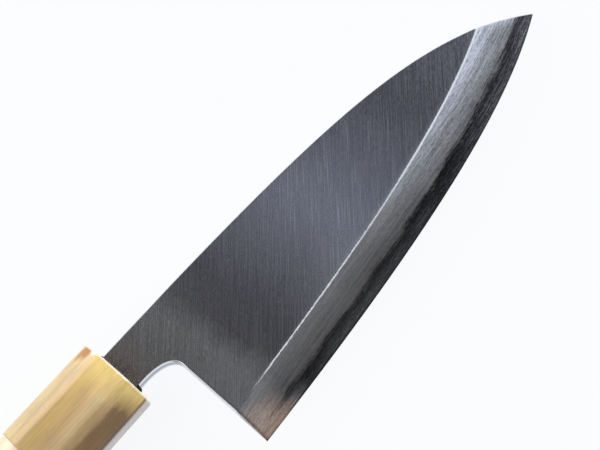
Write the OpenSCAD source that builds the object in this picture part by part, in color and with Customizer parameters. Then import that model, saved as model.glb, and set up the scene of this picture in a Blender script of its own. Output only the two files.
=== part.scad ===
// Heavy single-bevel Japanese butchery knife (deba) with an octagonal wooden handle.
// The blade is two layers welded face to face: soft iron cladding and a hard steel edge layer.
// Its tang is bedded in resin inside a horn ferrule and a wooden handle.
// Working frame: X runs along the handle axis from the ferrule's front to the tip, Y points to
// the spine, Z points out of the bevelled face. All lengths are in millimetres.

/* [Blade outline] */
// Distance from the front of the ferrule to the tip
blade_reach = 179.4; // [165:0.1:200]
// Distance from the front of the ferrule to the heel corner of the edge
heel_x = 13.8; // [12:0.1:18]
// Drop of the heel corner below the handle axis
heel_drop = 46.2; // [38:0.1:56]
// Drop of the tip below the handle axis
tip_drop = 21.1; // [16:0.1:26]
// Height of the spine above the handle axis at the neck
spine_rise = 6.3; // [4:0.1:8]
// Length over which the spine stays level before it curves down
spine_level = 113.4; // [90:0.1:125]
// Length over which the spine holds its slope at the tip
spine_fall = 38; // [25:0.1:45]
// Slope of the spine at the tip, in degrees
spine_tip_angle = 35.7; // [25:0.1:42]
// Length over which the edge holds its slope at the heel
edge_heel_run = 101.3; // [80:0.1:115]
// Rise of the edge at the heel, in degrees
edge_heel_angle = 2.4; // [0.5:0.1:5]
// Length over which the edge holds its slope at the tip
edge_tip_run = 26.5; // [18:0.1:35]
// Rise of the edge at the tip, in degrees
edge_tip_angle = 23.6; // [18:0.1:30]

/* [Neck and finger notch] */
// Height of the neck between ferrule and blade
neck_h = 13.7; // [11:0.1:16]
// Width of the notch between the ferrule and the heel wall
notch_w = 14.2; // [12:0.1:18]
// Distance from the ferrule at which the neck's lower edge starts to curve
notch_start = 3; // [1:0.1:4]
// Length over which the notch's curve follows the neck
notch_neck_run = 6.5; // [4:0.1:8]
// Length over which the notch's curve follows the heel wall
notch_wall_run = 4; // [2:0.1:5]
// Drop of the notch's curve from the neck to the straight heel wall
notch_drop = 5.8; // [5:0.1:9]

/* [Blade thickness] */
// Thickness at the neck
spine_t = 6.8; // [5:0.1:8]
// Thickness that the flat's taper reaches at the tip
tip_t = 1.9; // [1.4:0.1:3]
// Power of the taper: 1 is straight, more keeps the heel thick for longer
taper_power = 1.25; // [1:0.05:1.6]

/* [Bevel] */
// Width of the bevel at the heel
bevel_w_heel = 11.6; // [9:0.1:14]
// Width of the bevel at the tip
bevel_w_tip = 16.6; // [13:0.1:20]
// Outward bow of the bevel between its ridge and the edge
bevel_bow = 0.15; // [0:0.01:0.3]
// Width of the fine second bevel along the edge
fine_bevel_w = 0.5; // [0.3:0.05:1]
// Angle of the fine second bevel, in degrees
fine_bevel_angle = 28; // [26:1:40]

/* [Hollow back] */
// Radius of the wheel that hollows the back
hollow_r = 600; // [400:10:1200]
// Flat rim left along the edge
rim_edge = 2.2; // [1:0.1:4]
// Flat rim left along the spine
rim_spine = 3; // [2:0.1:6]
// Flat left between the heel wall and the hollow
rim_heel = 7; // [4:0.1:12]
// Flat left between the hollow and the tip
rim_tip = 13; // [8:0.1:24]

/* [Edge steel] */
// Share of the blade's thickness that is edge steel at the heel
steel_share_heel = 0.34; // [0.25:0.01:0.45]
// Share of the blade's thickness that is edge steel at the tip
steel_share_tip = 0.45; // [0.25:0.01:0.5]
// Distance from the ferrule at which the edge steel feathers out in the neck
steel_start = 6; // [3:0.1:9]
// Distance from the ferrule at which the edge steel has its full thickness
steel_full = 20; // [16:0.1:30]
// Height of the long waves in the weld
weld_long_wave = 0.2; // [0:0.01:0.3]
// Height of the short waves in the weld
weld_short_wave = 0.1; // [0:0.01:0.15]

/* [Tang] */
// Length of the tang inside the handle
tang_len = 88; // [70:0.5:100]
// Length of the shoulder where the neck narrows to the tang
shoulder_len = 10; // [6:0.5:14]
// Height of the tang behind the shoulder
tang_root_h = 10.6; // [8:0.1:11.5]
// Height of the tang at its end
tang_end_h = 6; // [4:0.1:8]
// Thickness of the tang behind the shoulder
tang_root_t = 5.6; // [4:0.1:6.5]
// Thickness of the tang at its end
tang_end_t = 3.4; // [2:0.1:4.5]

/* [Handle] */
// Whole length of the handle with its ferrule
handle_len = 135; // [125:0.5:150]
// Height of the octagon at the front
front_h = 25.3; // [23.5:0.1:27]
// Thickness of the octagon at the front
front_t = 22.6; // [22:0.1:26]
// Height of the octagon at the butt
butt_h = 26; // [24:0.1:30]
// Thickness of the octagon at the butt
butt_t = 24.6; // [23:0.1:28]
// Size of the octagon's corner cuts at the front
front_cut = 6.8; // [5:0.1:7.5]
// Size of the octagon's corner cuts at the butt
butt_cut = 7.4; // [5:0.1:8]
// Rounding of the lengthwise edges
edge_soft = 3.5; // [0.6:0.1:4.2]
// Chamfer around the butt face
butt_chamfer = 1.2; // [0.5:0.1:2.5]

/* [Ferrule] */
// Length of the horn ferrule
ferrule_len = 34.2; // [28:0.1:40]
// Rounding of the ferrule's front rim
rim_r = 0.9; // [0.6:0.1:2]
// Depth of the fine groove where horn and wood meet
seam_groove = 0.35; // [0.2:0.05:0.6]
// Thickness of the ferrule's front wall, which the neck passes through
front_wall = 8; // [6:0.1:12]
// Diameter of the wooden tenon inside the ferrule
tenon_d = 17; // [16.4:0.1:18]
// Radial clearance of the tenon in its bore
tenon_fit = 0.05; // [0.02:0.01:0.1]
// Gap between the tenon's end and the front wall
tenon_end_gap = 0.3; // [0.1:0.05:0.6]

/* [Tang bedding] */
// Thickness of the resin around the tang
bed_gap = 0.7; // [0.4:0.05:0.9]
// How far the resin stands out of the ferrule below the neck
bead_low = 1.3; // [0.5:0.1:2]
// How far the resin stands out of the ferrule over the neck
bead_high = 0.6; // [0.3:0.1:1.2]

/* [Hidden] */

// Stations along the lofted and curved surfaces
blade_stations = 44;
hollow_stations = 36;
weld_stations = 90;
corner_steps = 4;
rim_steps = 4;
notch_steps = 14;
face_steps = 4;
arc_steps = 8;
bead_steps = 6;

// Overlap that a cutting shape takes past the surface it cuts
overcut = 1;
// Stock left outside the edge, which the bevel takes away
edge_stock = 2;
// Reach of the bevel's cutter outside the edge, past all of the stock
cutter_reach = 4 * edge_stock;
// How far the bevel's curves run on past the heel and the tip, as curve parameters
heel_overrun = 0.021;
tip_overrun = 0.081;
spine_overrun = 0.02;
// How far the bevel's cutter runs on past the ridge, as a share of the bevel's width
ridge_overrun = 1.15;
// Power by which the hollow fades out at its ends: more keeps its depth for longer
hollow_fade = 6;
// Skim that lets the hollow run out just inside its rim
hollow_skim = 0.01;
// Lengths of the weld's long and short waves
weld_long_length = 23;
weld_short_length = 9.1;

back_z = -spine_t / 2;
neck_bottom = spine_rise - neck_h;
neck_mid = spine_rise - neck_h / 2;
tip = [blade_reach, -tip_drop];
heel = [heel_x, -heel_drop];
wall_top = neck_bottom - notch_drop;
tenon_len = ferrule_len - front_wall - tenon_end_gap;
handle_half_h = max(front_h, butt_h) / 2;
handle_half_t = max(front_t, butt_t) / 2;

// Control points of the spine, the edge and the notch, each a cubic curve
spine_curve = [
    [0, spine_rise],
    [spine_level, spine_rise],
    tip + spine_fall * [-cos(spine_tip_angle), sin(spine_tip_angle)],
    tip
];
edge_curve = [
    heel,
    heel + edge_heel_run * [cos(edge_heel_angle), sin(edge_heel_angle)],
    tip - edge_tip_run * [cos(edge_tip_angle), sin(edge_tip_angle)],
    tip
];
notch_curve = [
    [notch_start, neck_bottom],
    [notch_start + notch_neck_run, neck_bottom],
    [notch_w, wall_top + notch_wall_run],
    [notch_w, wall_top]
];

function lerp(a, b, s) = a + (b - a) * s;
function cubic(c, t) =
    pow(1 - t, 3) * c[0] + 3 * pow(1 - t, 2) * t * c[1] + 3 * (1 - t) * t * t * c[2] + pow(t, 3) * c[3];
function cubic_slope(c, t) =
    3 * (pow(1 - t, 2) * (c[1] - c[0]) + 2 * (1 - t) * t * (c[2] - c[1]) + t * t * (c[3] - c[2]));
// Unit normal of a curve on its left side, seen along the curve
function left_of(c, t) = let (d = cubic_slope(c, t)) [-d.y, d.x] / norm(d);
// Evenly spaced values from a to b, in a given number of steps
function steps(a, b, count) = [for (i = [0:count]) lerp(a, b, i / count)];

// Thickness of the blade under its flat at a distance x from the ferrule
function flat_t(x) = spine_t - (spine_t - tip_t) * pow(max(x, 0) / blade_reach, taper_power);
// Width of the bevel at a distance x from the ferrule
function bevel_w(x) = lerp(bevel_w_heel, bevel_w_tip, (x - heel_x) / (blade_reach - heel_x));
// Share of the thickness that is edge steel at a distance x from the ferrule
function steel_share(x) =
    lerp(steel_share_heel, steel_share_tip, (x - heel_x) / (blade_reach - heel_x));
// Waves of the weld, which shrink with the square of the thickness
function weld_wave(x) =
    pow(flat_t(x) / spine_t, 2)
    * (weld_long_wave * sin(360 * x / weld_long_length) + weld_short_wave * sin(360 * x / weld_short_length));
// Height of the weld over the back: a share of the thickness, waved, feathered out at the neck
function weld_h(x) =
    min((x - steel_start) / (steel_full - steel_start), 1) * (steel_share(x) * flat_t(x) + weld_wave(x));
// Octagon size at a distance x along the handle, as [height, thickness, corner cut]
function grip(x) = lerp([front_h, front_t, front_cut], [butt_h, butt_t, butt_cut], -x / handle_len);

// Ring of points around the handle at x, with the octagon set in all round and its corners softened
function grip_ring(x, inset) =
    let (
        g = grip(x),
        slant = (g[0] / 2 + g[1] / 2 - g[2]) / sqrt(2),
        reach = [for (d = [g[0] / 2, slant, g[1] / 2, slant, g[0] / 2, slant, g[1] / 2, slant])
            d - inset - edge_soft]
    )
    [for (k = [0:7]) let (
        a = 45 * k,
        b = a + 45,
        p = reach[k],
        q = reach[(k + 1) % 8],
        corner = [p * sin(b) - q * sin(a), q * cos(a) - p * cos(b)] / sin(45)
    ) each [for (turn = steps(a, b, corner_steps))
        [x, corner.x + edge_soft * cos(turn), corner.y + edge_soft * sin(turn)]]];

// Section of the bevel's cutter at curve parameter t: along the bevel from outside the edge to
// past its ridge, then back over the top
function bevel_ring(t) =
    let (
        edge = cubic(edge_curve, t),
        inward = left_of(edge_curve, t),
        w = bevel_w(edge.x),
        ridge_t = flat_t(edge.x + inward.x * w),
        fine_z = fine_bevel_w * tan(fine_bevel_angle),
        face = [for (s = concat(steps(0, 1, face_steps), [ridge_overrun]))
            [lerp(fine_bevel_w, w, s), lerp(fine_z, ridge_t, s) + 4 * bevel_bow * s * (1 - s)]],
        outside = [-cutter_reach, -cutter_reach * tan(fine_bevel_angle)],
        top = spine_t + overcut,
        section = concat([outside], face, [[face[face_steps + 1].x, top], [outside.x, top]])
    )
    [for (p = section) [each edge + inward * p.x, back_z + p.y]];

// Section of the hollow's cutter at curve parameter t: a shallow arc between the two rims
function hollow_ring(t, ends) =
    let (
        low = cubic(edge_curve, t) + rim_edge * left_of(edge_curve, t),
        spine_at = lerp(ends.x, 1, t),
        high = cubic(spine_curve, spine_at) - rim_spine * left_of(spine_curve, spine_at),
        depth = pow(norm(high - low), 2) / (8 * hollow_r),
        along = (t - ends.x) / (ends.y - ends.x),
        fade = 1 - pow(2 * along - 1, hollow_fade),
        arc = [for (v = steps(1, -1, arc_steps))
            [each lerp(low, high, (v + 1) / 2), back_z + depth * fade * (1 - v * v) - hollow_skim]]
    )
    concat([[each low, back_z - overcut], [each high, back_z - overcut]], arc);

// Solid through a list of rings that run counter-clockwise about the direction of travel
module loft(rings) {
    n = len(rings[0]);
    last = len(rings) - 1;
    sides = [for (i = [0:last - 1], j = [0:n - 1])
        [i * n + j, (i + 1) * n + j, (i + 1) * n + (j + 1) % n, i * n + (j + 1) % n]];
    ends = [[for (j = [0:n - 1]) j], [for (j = [n - 1:-1:0]) last * n + j]];
    polyhedron([for (r = rings) each r], concat(sides, ends));
}

// Moves the working frame so that the part lies on the ground with its box centred over the origin
module placed() {
    translate([(handle_len - blade_reach) / 2, (heel_drop - handle_half_h) / 2, handle_half_t])
        children();
}

// Carries a drawing in X and Z through the whole width of the knife
module across(width) {
    translate([0, width, 0]) rotate([90, 0, 0]) linear_extrude(2 * width) children();
}

// Outline of tang and slot, grown by a gap all round: its full sizes at the neck, behind the
// shoulder and at the end lie about a middle line
module tang_outline(gap, front, neck, root, end, middle) {
    upper = [
        [front, neck / 2 + gap],
        [0, neck / 2 + gap],
        [-shoulder_len, root / 2 + gap],
        [-tang_len - gap, end / 2 + gap]
    ];
    lower = [for (i = [3:-1:0]) [upper[i].x, -upper[i].y]];
    translate([0, middle]) polygon(concat(upper, lower));
}

// Tang, or the slot for it, reaching forward to a given distance from the ferrule's front
module tang_shape(gap, front) {
    intersection() {
        translate([0, 0, -handle_half_t]) linear_extrude(2 * handle_half_t)
            tang_outline(gap, front, neck_h, tang_root_h, tang_end_h, neck_mid);
        across(handle_half_h) tang_outline(gap, front, spine_t, tang_root_t, tang_end_t, 0);
    }
}

// Outline of blade and neck in X and Y, with stock outside the edge
module blade_plan() {
    spine = [for (t = steps(0, 1 + spine_overrun, blade_stations)) cubic(spine_curve, t)];
    stock = [for (t = steps(1, 0, blade_stations))
        cubic(edge_curve, t) - edge_stock * left_of(edge_curve, t)];
    inner = [for (p = stock) if (p.x > heel_x + overcut) p];
    below_heel = [[heel_x + overcut, -heel_drop - edge_stock], [heel_x, -heel_drop - edge_stock]];
    notch = [for (t = steps(1, 0, notch_steps)) cubic(notch_curve, t)];
    polygon(concat(spine, inner, below_heel, [heel], notch, [[0, neck_bottom]]));
}

// Outline of the blade in X and Z: flat back, tapering flat face
module blade_side() {
    end = blade_reach + edge_stock;
    top = [for (x = steps(end, 0, blade_stations)) [x, back_z + flat_t(x)]];
    polygon(concat([[0, back_z], [end, back_z]], top));
}

// Removes everything over the bevel
module bevel_cutter() {
    loft([for (t = steps(-heel_overrun, 1 + tip_overrun, blade_stations)) bevel_ring(t)]);
}

// Removes the shallow hollow from the back
module hollow_cutter() {
    heel_end = (rim_heel + fine_bevel_w) / (3 * edge_heel_run);
    tip_end = 1 - rim_tip / (3 * edge_tip_run);
    loft([for (t = steps(heel_end, tip_end, hollow_stations)) hollow_ring(t, [heel_end, tip_end])]);
}

// Everything under the weld between cladding and edge steel
module weld_side() {
    start = steel_start - overcut;
    end = blade_reach + edge_stock;
    top = [for (x = steps(end, start, weld_stations)) [x, back_z + weld_h(x)]];
    across(2 * heel_drop) polygon(concat([[start, back_z - spine_t], [end, back_z - spine_t]], top));
}

// Ground blade without its tang, both layers in one
module blade_body() {
    difference() {
        intersection() {
            translate([0, 0, -spine_t]) linear_extrude(2 * spine_t) blade_plan();
            across(2 * heel_drop) blade_side();
        }
        bevel_cutter();
        hollow_cutter();
    }
}

// Outside of a length of the handle between two ends, each with its own small bevel
module grip_body(back, back_bevel, front, front_bevel) {
    loft([
        grip_ring(back, back_bevel),
        grip_ring(back + back_bevel, 0),
        grip_ring(front - front_bevel, 0),
        grip_ring(front, front_bevel)
    ]);
}

// Soft iron layer with the spine, the neck and the tang
module blade_cladding() {
    color("dimgray") placed() {
        union() {
            difference() {
                blade_body();
                weld_side();
            }
            tang_shape(0, 0);
        }
    }
}

// Hard steel layer over the whole back, which shows on the bevel as the edge's own band
module edge_steel() {
    color("darkslategray") placed() intersection() {
        blade_body();
        weld_side();
    }
}

// Horn ferrule: round-rimmed octagon with a blind bore for the tenon and a slot for the neck
module horn_ferrule() {
    rounded_front = [for (a = steps(0, 90, rim_steps))
        grip_ring(-rim_r + rim_r * sin(a), rim_r * (1 - cos(a)))];
    outside = concat(
        [grip_ring(-ferrule_len, seam_groove), grip_ring(-ferrule_len + seam_groove, 0)],
        rounded_front
    );
    color("burlywood") placed() difference() {
        loft(outside);
        translate([-ferrule_len - overcut, 0, 0]) rotate([0, 90, 0])
            cylinder(h = ferrule_len - front_wall + overcut, r = tenon_d / 2 + tenon_fit, $fn = 64);
        tang_shape(bed_gap, overcut);
    }
}

// Wooden handle with a round tenon at its front and a tapering slot for the tang
module wood_handle() {
    color("wheat") placed() difference() {
        union() {
            grip_body(-handle_len, butt_chamfer, -ferrule_len, seam_groove);
            translate([-ferrule_len - overcut, 0, 0]) rotate([0, 90, 0])
                cylinder(h = tenon_len + overcut, d = tenon_d, $fn = 64);
        }
        tang_shape(bed_gap, overcut);
    }
}

// Resin squeezed out along an edge of the neck: a quarter round that stands proud of the ferrule and
// is as deep as the gap in the slot
module bead(proud, level, depth) {
    front = [for (a = steps(0, 90, bead_steps)) [proud * cos(a), level + depth * sin(a)]];
    translate([0, 0, -spine_t / 2]) linear_extrude(spine_t)
        polygon(concat([[-overcut, level]], front, [[-overcut, level + depth]]));
}

// Resin that fills the slot around the tang, with a bead below and over the neck
module tang_bedding() {
    color("saddlebrown") placed() difference() {
        intersection() {
            tang_shape(bed_gap, overcut + bead_low);
            union() {
                translate([-handle_len, -handle_half_h, -handle_half_t])
                    cube([handle_len, 2 * handle_half_h, 2 * handle_half_t]);
                bead(bead_low, neck_bottom, -bed_gap);
                bead(bead_high, spine_rise, bed_gap);
            }
        }
        tang_shape(0, 2 * overcut + bead_low);
    }
}

blade_cladding();
edge_steel();
horn_ferrule();
wood_handle();
tang_bedding();
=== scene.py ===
"""Looks of a heavy single-bevel butchery knife (deba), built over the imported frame.

All lengths are in metres. The forms are worked out in the knife's own axes: X from the ferrule's
front to the tip, Y to the spine, Z out of the bevelled face, with the handle's axis at Y = Z = 0.
Heights on the blade are measured from the flat back. KNIFE_ORIGIN carries the knife's axes to the
frame's.
"""

import math
from types import SimpleNamespace

import bmesh
import bpy
import numpy as np
from bpy.props import FloatProperty, FloatVectorProperty, PointerProperty
from bpy.types import Operator, Panel, PropertyGroup
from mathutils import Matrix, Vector


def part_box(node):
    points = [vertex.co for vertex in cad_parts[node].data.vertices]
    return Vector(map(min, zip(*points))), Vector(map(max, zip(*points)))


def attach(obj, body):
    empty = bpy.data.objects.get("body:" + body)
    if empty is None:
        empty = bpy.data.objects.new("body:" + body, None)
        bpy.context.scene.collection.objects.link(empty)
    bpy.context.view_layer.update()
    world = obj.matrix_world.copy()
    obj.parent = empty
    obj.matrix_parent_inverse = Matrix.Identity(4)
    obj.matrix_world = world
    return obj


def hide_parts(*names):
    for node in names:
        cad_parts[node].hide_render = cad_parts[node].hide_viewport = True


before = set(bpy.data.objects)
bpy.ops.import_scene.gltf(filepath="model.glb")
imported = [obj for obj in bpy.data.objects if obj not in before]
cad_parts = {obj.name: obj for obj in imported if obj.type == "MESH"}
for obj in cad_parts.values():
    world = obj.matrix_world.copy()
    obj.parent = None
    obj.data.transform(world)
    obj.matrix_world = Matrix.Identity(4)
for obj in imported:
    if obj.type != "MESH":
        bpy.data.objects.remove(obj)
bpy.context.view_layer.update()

bl_info = {
    "name": "Deba knife",
    "version": (1, 0, 0),
    "blender": (4, 5, 0),
    "location": "View3D > Sidebar > Deba",
    "description": "Ground blade, horn ferrule and octagonal handle over the packed knife",
    "category": "Object",
}

MM = 0.001

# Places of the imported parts, which the looks are fitted to
FERRULE_LOW, FERRULE_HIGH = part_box("horn_ferrule")
HANDLE_LOW, HANDLE_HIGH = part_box("wood_handle")
STEEL_LOW, STEEL_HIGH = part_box("edge_steel")
CLADDING_LOW, CLADDING_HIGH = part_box("blade_cladding")
KNIFE_ORIGIN = Vector((
    FERRULE_HIGH.x,
    (HANDLE_LOW.y + HANDLE_HIGH.y) / 2,
    (HANDLE_LOW.z + HANDLE_HIGH.z) / 2,
))

# Halvings of a range when a crossing is looked for, and samples of the spine when its height is read
HALVINGS, SPINE_SAMPLES = 48, 2001
# Rows of the blade's net: heel to the ridge's end, on to the weld's end, on to the tip
FLAT_ROWS, BEVEL_ROWS, POINT_ROWS = 120, 24, 26
# Power by which the first of these rows crowd towards the heel
HEEL_CROWDING = 1.25
# Columns of the net: edge band, bevel, lower flat, upper flat
BAND_COLUMNS, BEVEL_COLUMNS, LOWER_COLUMNS, UPPER_COLUMNS = 9, 16, 14, 10
# Columns on the fine bevel, as shares of its width, and most of the band that it may take
FINE_STEPS, FINE_SHARE = np.array([0, 0.5]), 1 / 3
# Distances from an eased edge, as shares of its radius
EASED_STEPS = np.array([0, 0.1, 0.3, 0.6, 1, 1.6])
# Most of the flat's width that the spine's rounding takes, and of the height that the heel's takes
SPINE_EASE, HEEL_EASE = 0.06, 0.45
# Power by which the hollow of the back fades at its two ends
HOLLOW_FADE = 6
# Stations along the notch's curve, before and after the steel's start
STEEL_STEPS, NOTCH_STEPS = 4, 20
# Steps down a wall, round a rim and round one of the handle's corners
WALL_STEPS, ROUND_STEPS, CORNER_STEPS = 3, 8, 6
# Sides of the handle, the angle from one to the next, and points of a ring
SIDES = 8
SIDE_TURN = 2 * math.pi / SIDES
RING_POINTS = SIDES * (CORNER_STEPS + 1)
# Radius at which the grain is measured round the handle
GRAIN_RADIUS = 12 * MM
# Widest angle between faces that still shade as one smooth surface
SMOOTH_ANGLE = math.radians(32)
# Points closer than this are one point
MERGE_DISTANCE = 1e-6
# Distance from ridge and weld that stands for every place away from them
FAR = 30 * MM

# Lean of the bevel's strokes off the edge at the heel, and how fast they turn back along it
STROKE_LEAN, STROKE_TURN = 0.06, 0.48
# Width of the finest polishing strokes
STROKE_WIDTH = 0.34 * MM
# The colour mixer's own numbers for its share, its two colours and its result
MIX_INPUTS, MIX_OUTPUT = (0, 6, 7), 2
# Turn of the gloss off the strokes, in whole turns
QUARTER_TURN = 0.25
# Brightness of the strokes as (noise, factor)
FLAT_TONE = [(0.38, 0.78), (0.5, 0.98), (0.62, 1.22)]
IRON_TONE = [(0.42, 0.56), (0.5, 0.94), (0.58, 1.24)]
STEEL_TONE = [(0.42, 0.5), (0.5, 0.82), (0.58, 2.2)]
# Strokes in the heel's painted warm reflection
HEEL_REFLECTION_TONE = [(0.4, 0.66), (0.5, 0.95), (0.6, 1.3)]
# Painted reflections: brightness along the blade as (share of its reach, factor)
FLAT_REFLECTION = [
    (0.03, 1.2), (0.08, 1.3), (0.12, 1.42), (0.165, 0.76), (0.22, 0.68), (0.3, 0.82), (0.42, 0.95),
    (0.56, 0.75), (0.68, 0.64), (0.8, 0.82),
]
IRON_REFLECTION = [
    (0.06, 1.0), (0.09, 0.78), (0.16, 0.88), (0.25, 0.98), (0.5, 0.97), (0.59, 1.02), (0.66, 0.9),
    (0.8, 0.93), (0.89, 0.86),
]
STEEL_REFLECTION = [
    (0.08, 1.9), (0.125, 0.55), (0.25, 1.45), (0.4, 1.15), (0.53, 0.55), (0.6, 0.6), (0.7, 1.1),
    (0.81, 0.75), (0.9, 1.05),
]
# Brightness across a layer of the bevel as (share of its width from the edge's side, factor)
IRON_DEPTH = [(0.0, 0.62), (0.5, 0.88), (1.0, 1.0)]
STEEL_DEPTH = [(0.0, 1.4), (0.45, 1.0), (0.85, 0.5), (1.0, 0.45)]
# Strength of the flat's painted highlight beside the ridge as (share of the blade's reach, strength)
FLAT_HIGHLIGHT = [(0.2, 0.0), (0.3, 0.2), (0.38, 0.2), (0.46, 0.0)]
# Reach of the painted highlight on the ridge, on the flat and on the bevel
FLAT_GLINT, BEVEL_GLINT = 0.34 * MM, 0.4 * MM
# Strength of that painted highlight as (share of the way from heel to tip, strength)
RIDGE_FADE = [(0.04, 0.0), (0.1, 0.9), (0.28, 0.93), (0.5, 0.85), (0.6, 1.0)]
# Lean of the border of the heel's painted warm reflection: along the edge for each step away from it
HEEL_REFLECTION_LEAN = 0.69
# Strength of the horn's painted lilac highlight as (share of the ferrule's height, strength)
LILAC_HIGHLIGHT = [(0.72, 0), (0.77, 1), (0.79, 1), (0.84, 0)]
# Extra width of the horn's rim of painted highlight round its corner, as (share of 10 mm over the axis,
# millimetres)
RIM_CORNER_HIGHLIGHT = [(0.6, 0), (0.7, 1.1), (0.8, 1.1), (0.86, 0)]
# Dark line of painted shade on the horn's lower side, out of the handle's axis
UNDERSIDE_SHADE_LINE = 4.6 * MM

# Share of even white in the floor as it is seen
EVEN_WHITE = 0.92
# Brightness of the room as (sine of the height over the horizon, factor)
ROOM_LIGHT = [(0.0, 1.0), (0.5, 0.95), (0.78, 0.14), (1.0, 0.12)]
# Lamps: name, place, width and height in metres, power in watts, tint
LAMPS = [
    ("spine_window", (-0.35, 1.3, 0.62), (2.0, 1.0), 8.0, (1.0, 0.99, 0.97)),
    ("left_window", (-1.0, 0.3, 0.95), (1.1, 0.8), 9.0, (1.0, 1.0, 1.0)),
    ("tip_window", (1.45, -0.05, 0.4), (0.8, 0.5), 14.0, (0.95, 0.97, 1.0)),
    ("ceiling_panel", (0.45, 0.24, 1.08), (0.18, 0.18), 0.08, (0.9, 0.95, 1.0)),
]
# Camera's sensor in millimetres, and its nearest and farthest sight in metres
SENSOR_WIDTH, NEAREST, FARTHEST = 36, 0.01, 50


def srgb(red, green, blue):
    """Linear colour of an 8-bit screen colour, by the screen's own curve."""
    share = np.array([red, green, blue]) / 255
    return tuple(np.where(share <= 0.04045, share / 12.92, ((share + 0.055) / 1.055) ** 2.4))


def size(name, description, default):
    """A length that a user may change."""
    return FloatProperty(name=name, description=description, default=default, unit="LENGTH", precision=5)


def angle(name, description, degrees):
    """An angle that a user may change."""
    return FloatProperty(name=name, description=description, default=math.radians(degrees), subtype="ANGLE")


def factor(name, description, default):
    """A plain number that a user may change."""
    return FloatProperty(name=name, description=description, default=default)


def colour(name, description, screen):
    """A colour that a user may change, given as an 8-bit screen colour."""
    return FloatVectorProperty(
        name=name, description=description, default=srgb(*screen), subtype="COLOR", size=3, min=0, max=1
    )


class BladeSizes(PropertyGroup):
    """Sizes of the blade, both layers."""

    reach: size("Reach", "Ferrule front to tip", STEEL_HIGH.x - KNIFE_ORIGIN.x)
    heel_x: size("Heel place", "Ferrule front to the heel corner", 13.8 * MM)
    heel_drop: size("Heel drop", "Heel corner below the handle's axis", KNIFE_ORIGIN.y - STEEL_LOW.y)
    tip_drop: size("Tip drop", "Tip below the handle's axis", 21.1 * MM)
    spine_rise: size("Spine rise", "Spine above the handle's axis", CLADDING_HIGH.y - KNIFE_ORIGIN.y)
    spine_level: size("Level spine", "Length that the spine holds its level", 113.4 * MM)
    spine_fall: size("Spine fall", "Length that the spine holds its slope at the tip", 38 * MM)
    spine_tip_angle: angle("Spine slope", "Slope of the spine at the tip", 35.7)
    edge_heel_run: size("Edge run, heel", "Length that the edge holds its slope at the heel", 101.3 * MM)
    edge_heel_angle: angle("Edge slope, heel", "Rise of the edge at the heel", 2.4)
    edge_tip_run: size("Edge run, tip", "Length that the edge holds its slope at the tip", 26.5 * MM)
    edge_tip_angle: angle("Edge slope, tip", "Rise of the edge at the tip", 23.6)
    neck_height: size("Neck height", "Height of the neck at the ferrule", 13.7 * MM)
    notch_width: size("Notch width", "Ferrule front to the heel wall", 14.2 * MM)
    notch_start: size("Notch start", "Where the neck's lower edge starts to curve", 3 * MM)
    notch_neck_run: size("Notch run, neck", "Length that the notch's curve follows the neck", 6.5 * MM)
    notch_wall_run: size("Notch run, heel", "Length that the notch's curve follows the heel wall", 4 * MM)
    notch_drop: size("Notch drop", "Drop of the notch's curve to the straight heel wall", 5.8 * MM)
    neck_thickness: size("Neck thickness", "Thickness at the neck", CLADDING_HIGH.z - CLADDING_LOW.z)
    tip_thickness: size("Tip thickness", "Thickness that the taper reaches at the tip", 1.9 * MM)
    taper_power: factor("Taper power", "1 tapers straight, more keeps the heel thick", 1.25)
    bevel_heel: size("Bevel at heel", "Width of the bevel at the heel", 11.6 * MM)
    bevel_tip: size("Bevel at tip", "Width of the bevel at the tip", 16.6 * MM)
    bevel_bow: size("Bevel bow", "Outward bow of the bevel", 0.15 * MM)
    fine_bevel: size("Fine bevel", "Width of the second bevel along the edge", 0.5 * MM)
    fine_angle: angle("Fine bevel angle", "Angle of the second bevel", 28)
    hollow_radius: size("Hollow radius", "Radius of the wheel that hollows the back", 600 * MM)
    rim_edge: size("Back rim, edge", "Flat rim of the back along the edge", 2.2 * MM)
    rim_spine: size("Back rim, spine", "Flat rim of the back along the spine", 3 * MM)
    rim_heel: size("Back rim, heel", "Flat of the back at the heel", 7.5 * MM)
    rim_tip: size("Back rim, tip", "Flat of the back at the tip", 13 * MM)
    steel_heel: factor("Steel at heel", "Share of the thickness that is edge steel at the heel", 0.34)
    steel_tip: factor("Steel at tip", "Share of the thickness that is edge steel at the tip", 0.45)
    steel_start: size("Steel start", "Where the edge steel feathers out in the neck", 6 * MM)
    steel_full: size("Steel full", "Where the edge steel has its full thickness", 20 * MM)
    weld_long: size("Long weld waves", "Height of the weld's long waves", 0.2 * MM)
    weld_short: size("Short weld waves", "Height of the weld's short waves", 0.1 * MM)
    weld_long_length: size("Long wave length", "Length of the weld's long waves", 23 * MM)
    weld_short_length: size("Short wave length", "Length of the weld's short waves", 9.1 * MM)
    tang_length: size("Tang length", "Length of the tang in the handle", KNIFE_ORIGIN.x - CLADDING_LOW.x)
    shoulder_length: size("Shoulder length", "Where the neck narrows to the tang", 10 * MM)
    tang_root_height: size("Tang root height", "Height behind the shoulder", 10.6 * MM)
    tang_end_height: size("Tang end height", "Height at the tang's end", 6 * MM)
    tang_root_thickness: size("Tang root thickness", "Thickness behind the shoulder", 5.6 * MM)
    tang_end_thickness: size("Tang end thickness", "Thickness at the tang's end", 3.4 * MM)
    eased: size("Eased edges", "Rounding of the spine's and the notch's edges", 0.28 * MM)
    flat_strokes: angle("Flat strokes", "Turn of the flat's strokes off the knife's length", 40.305)
    ridge_soft: size("Ridge softness", "Rounding of the ridge between flat and bevel", 0.05 * MM)
    heel_blend: factor("Heel blend", "Share of the edge over which the net turns to the heel wall", 0.12)


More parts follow.
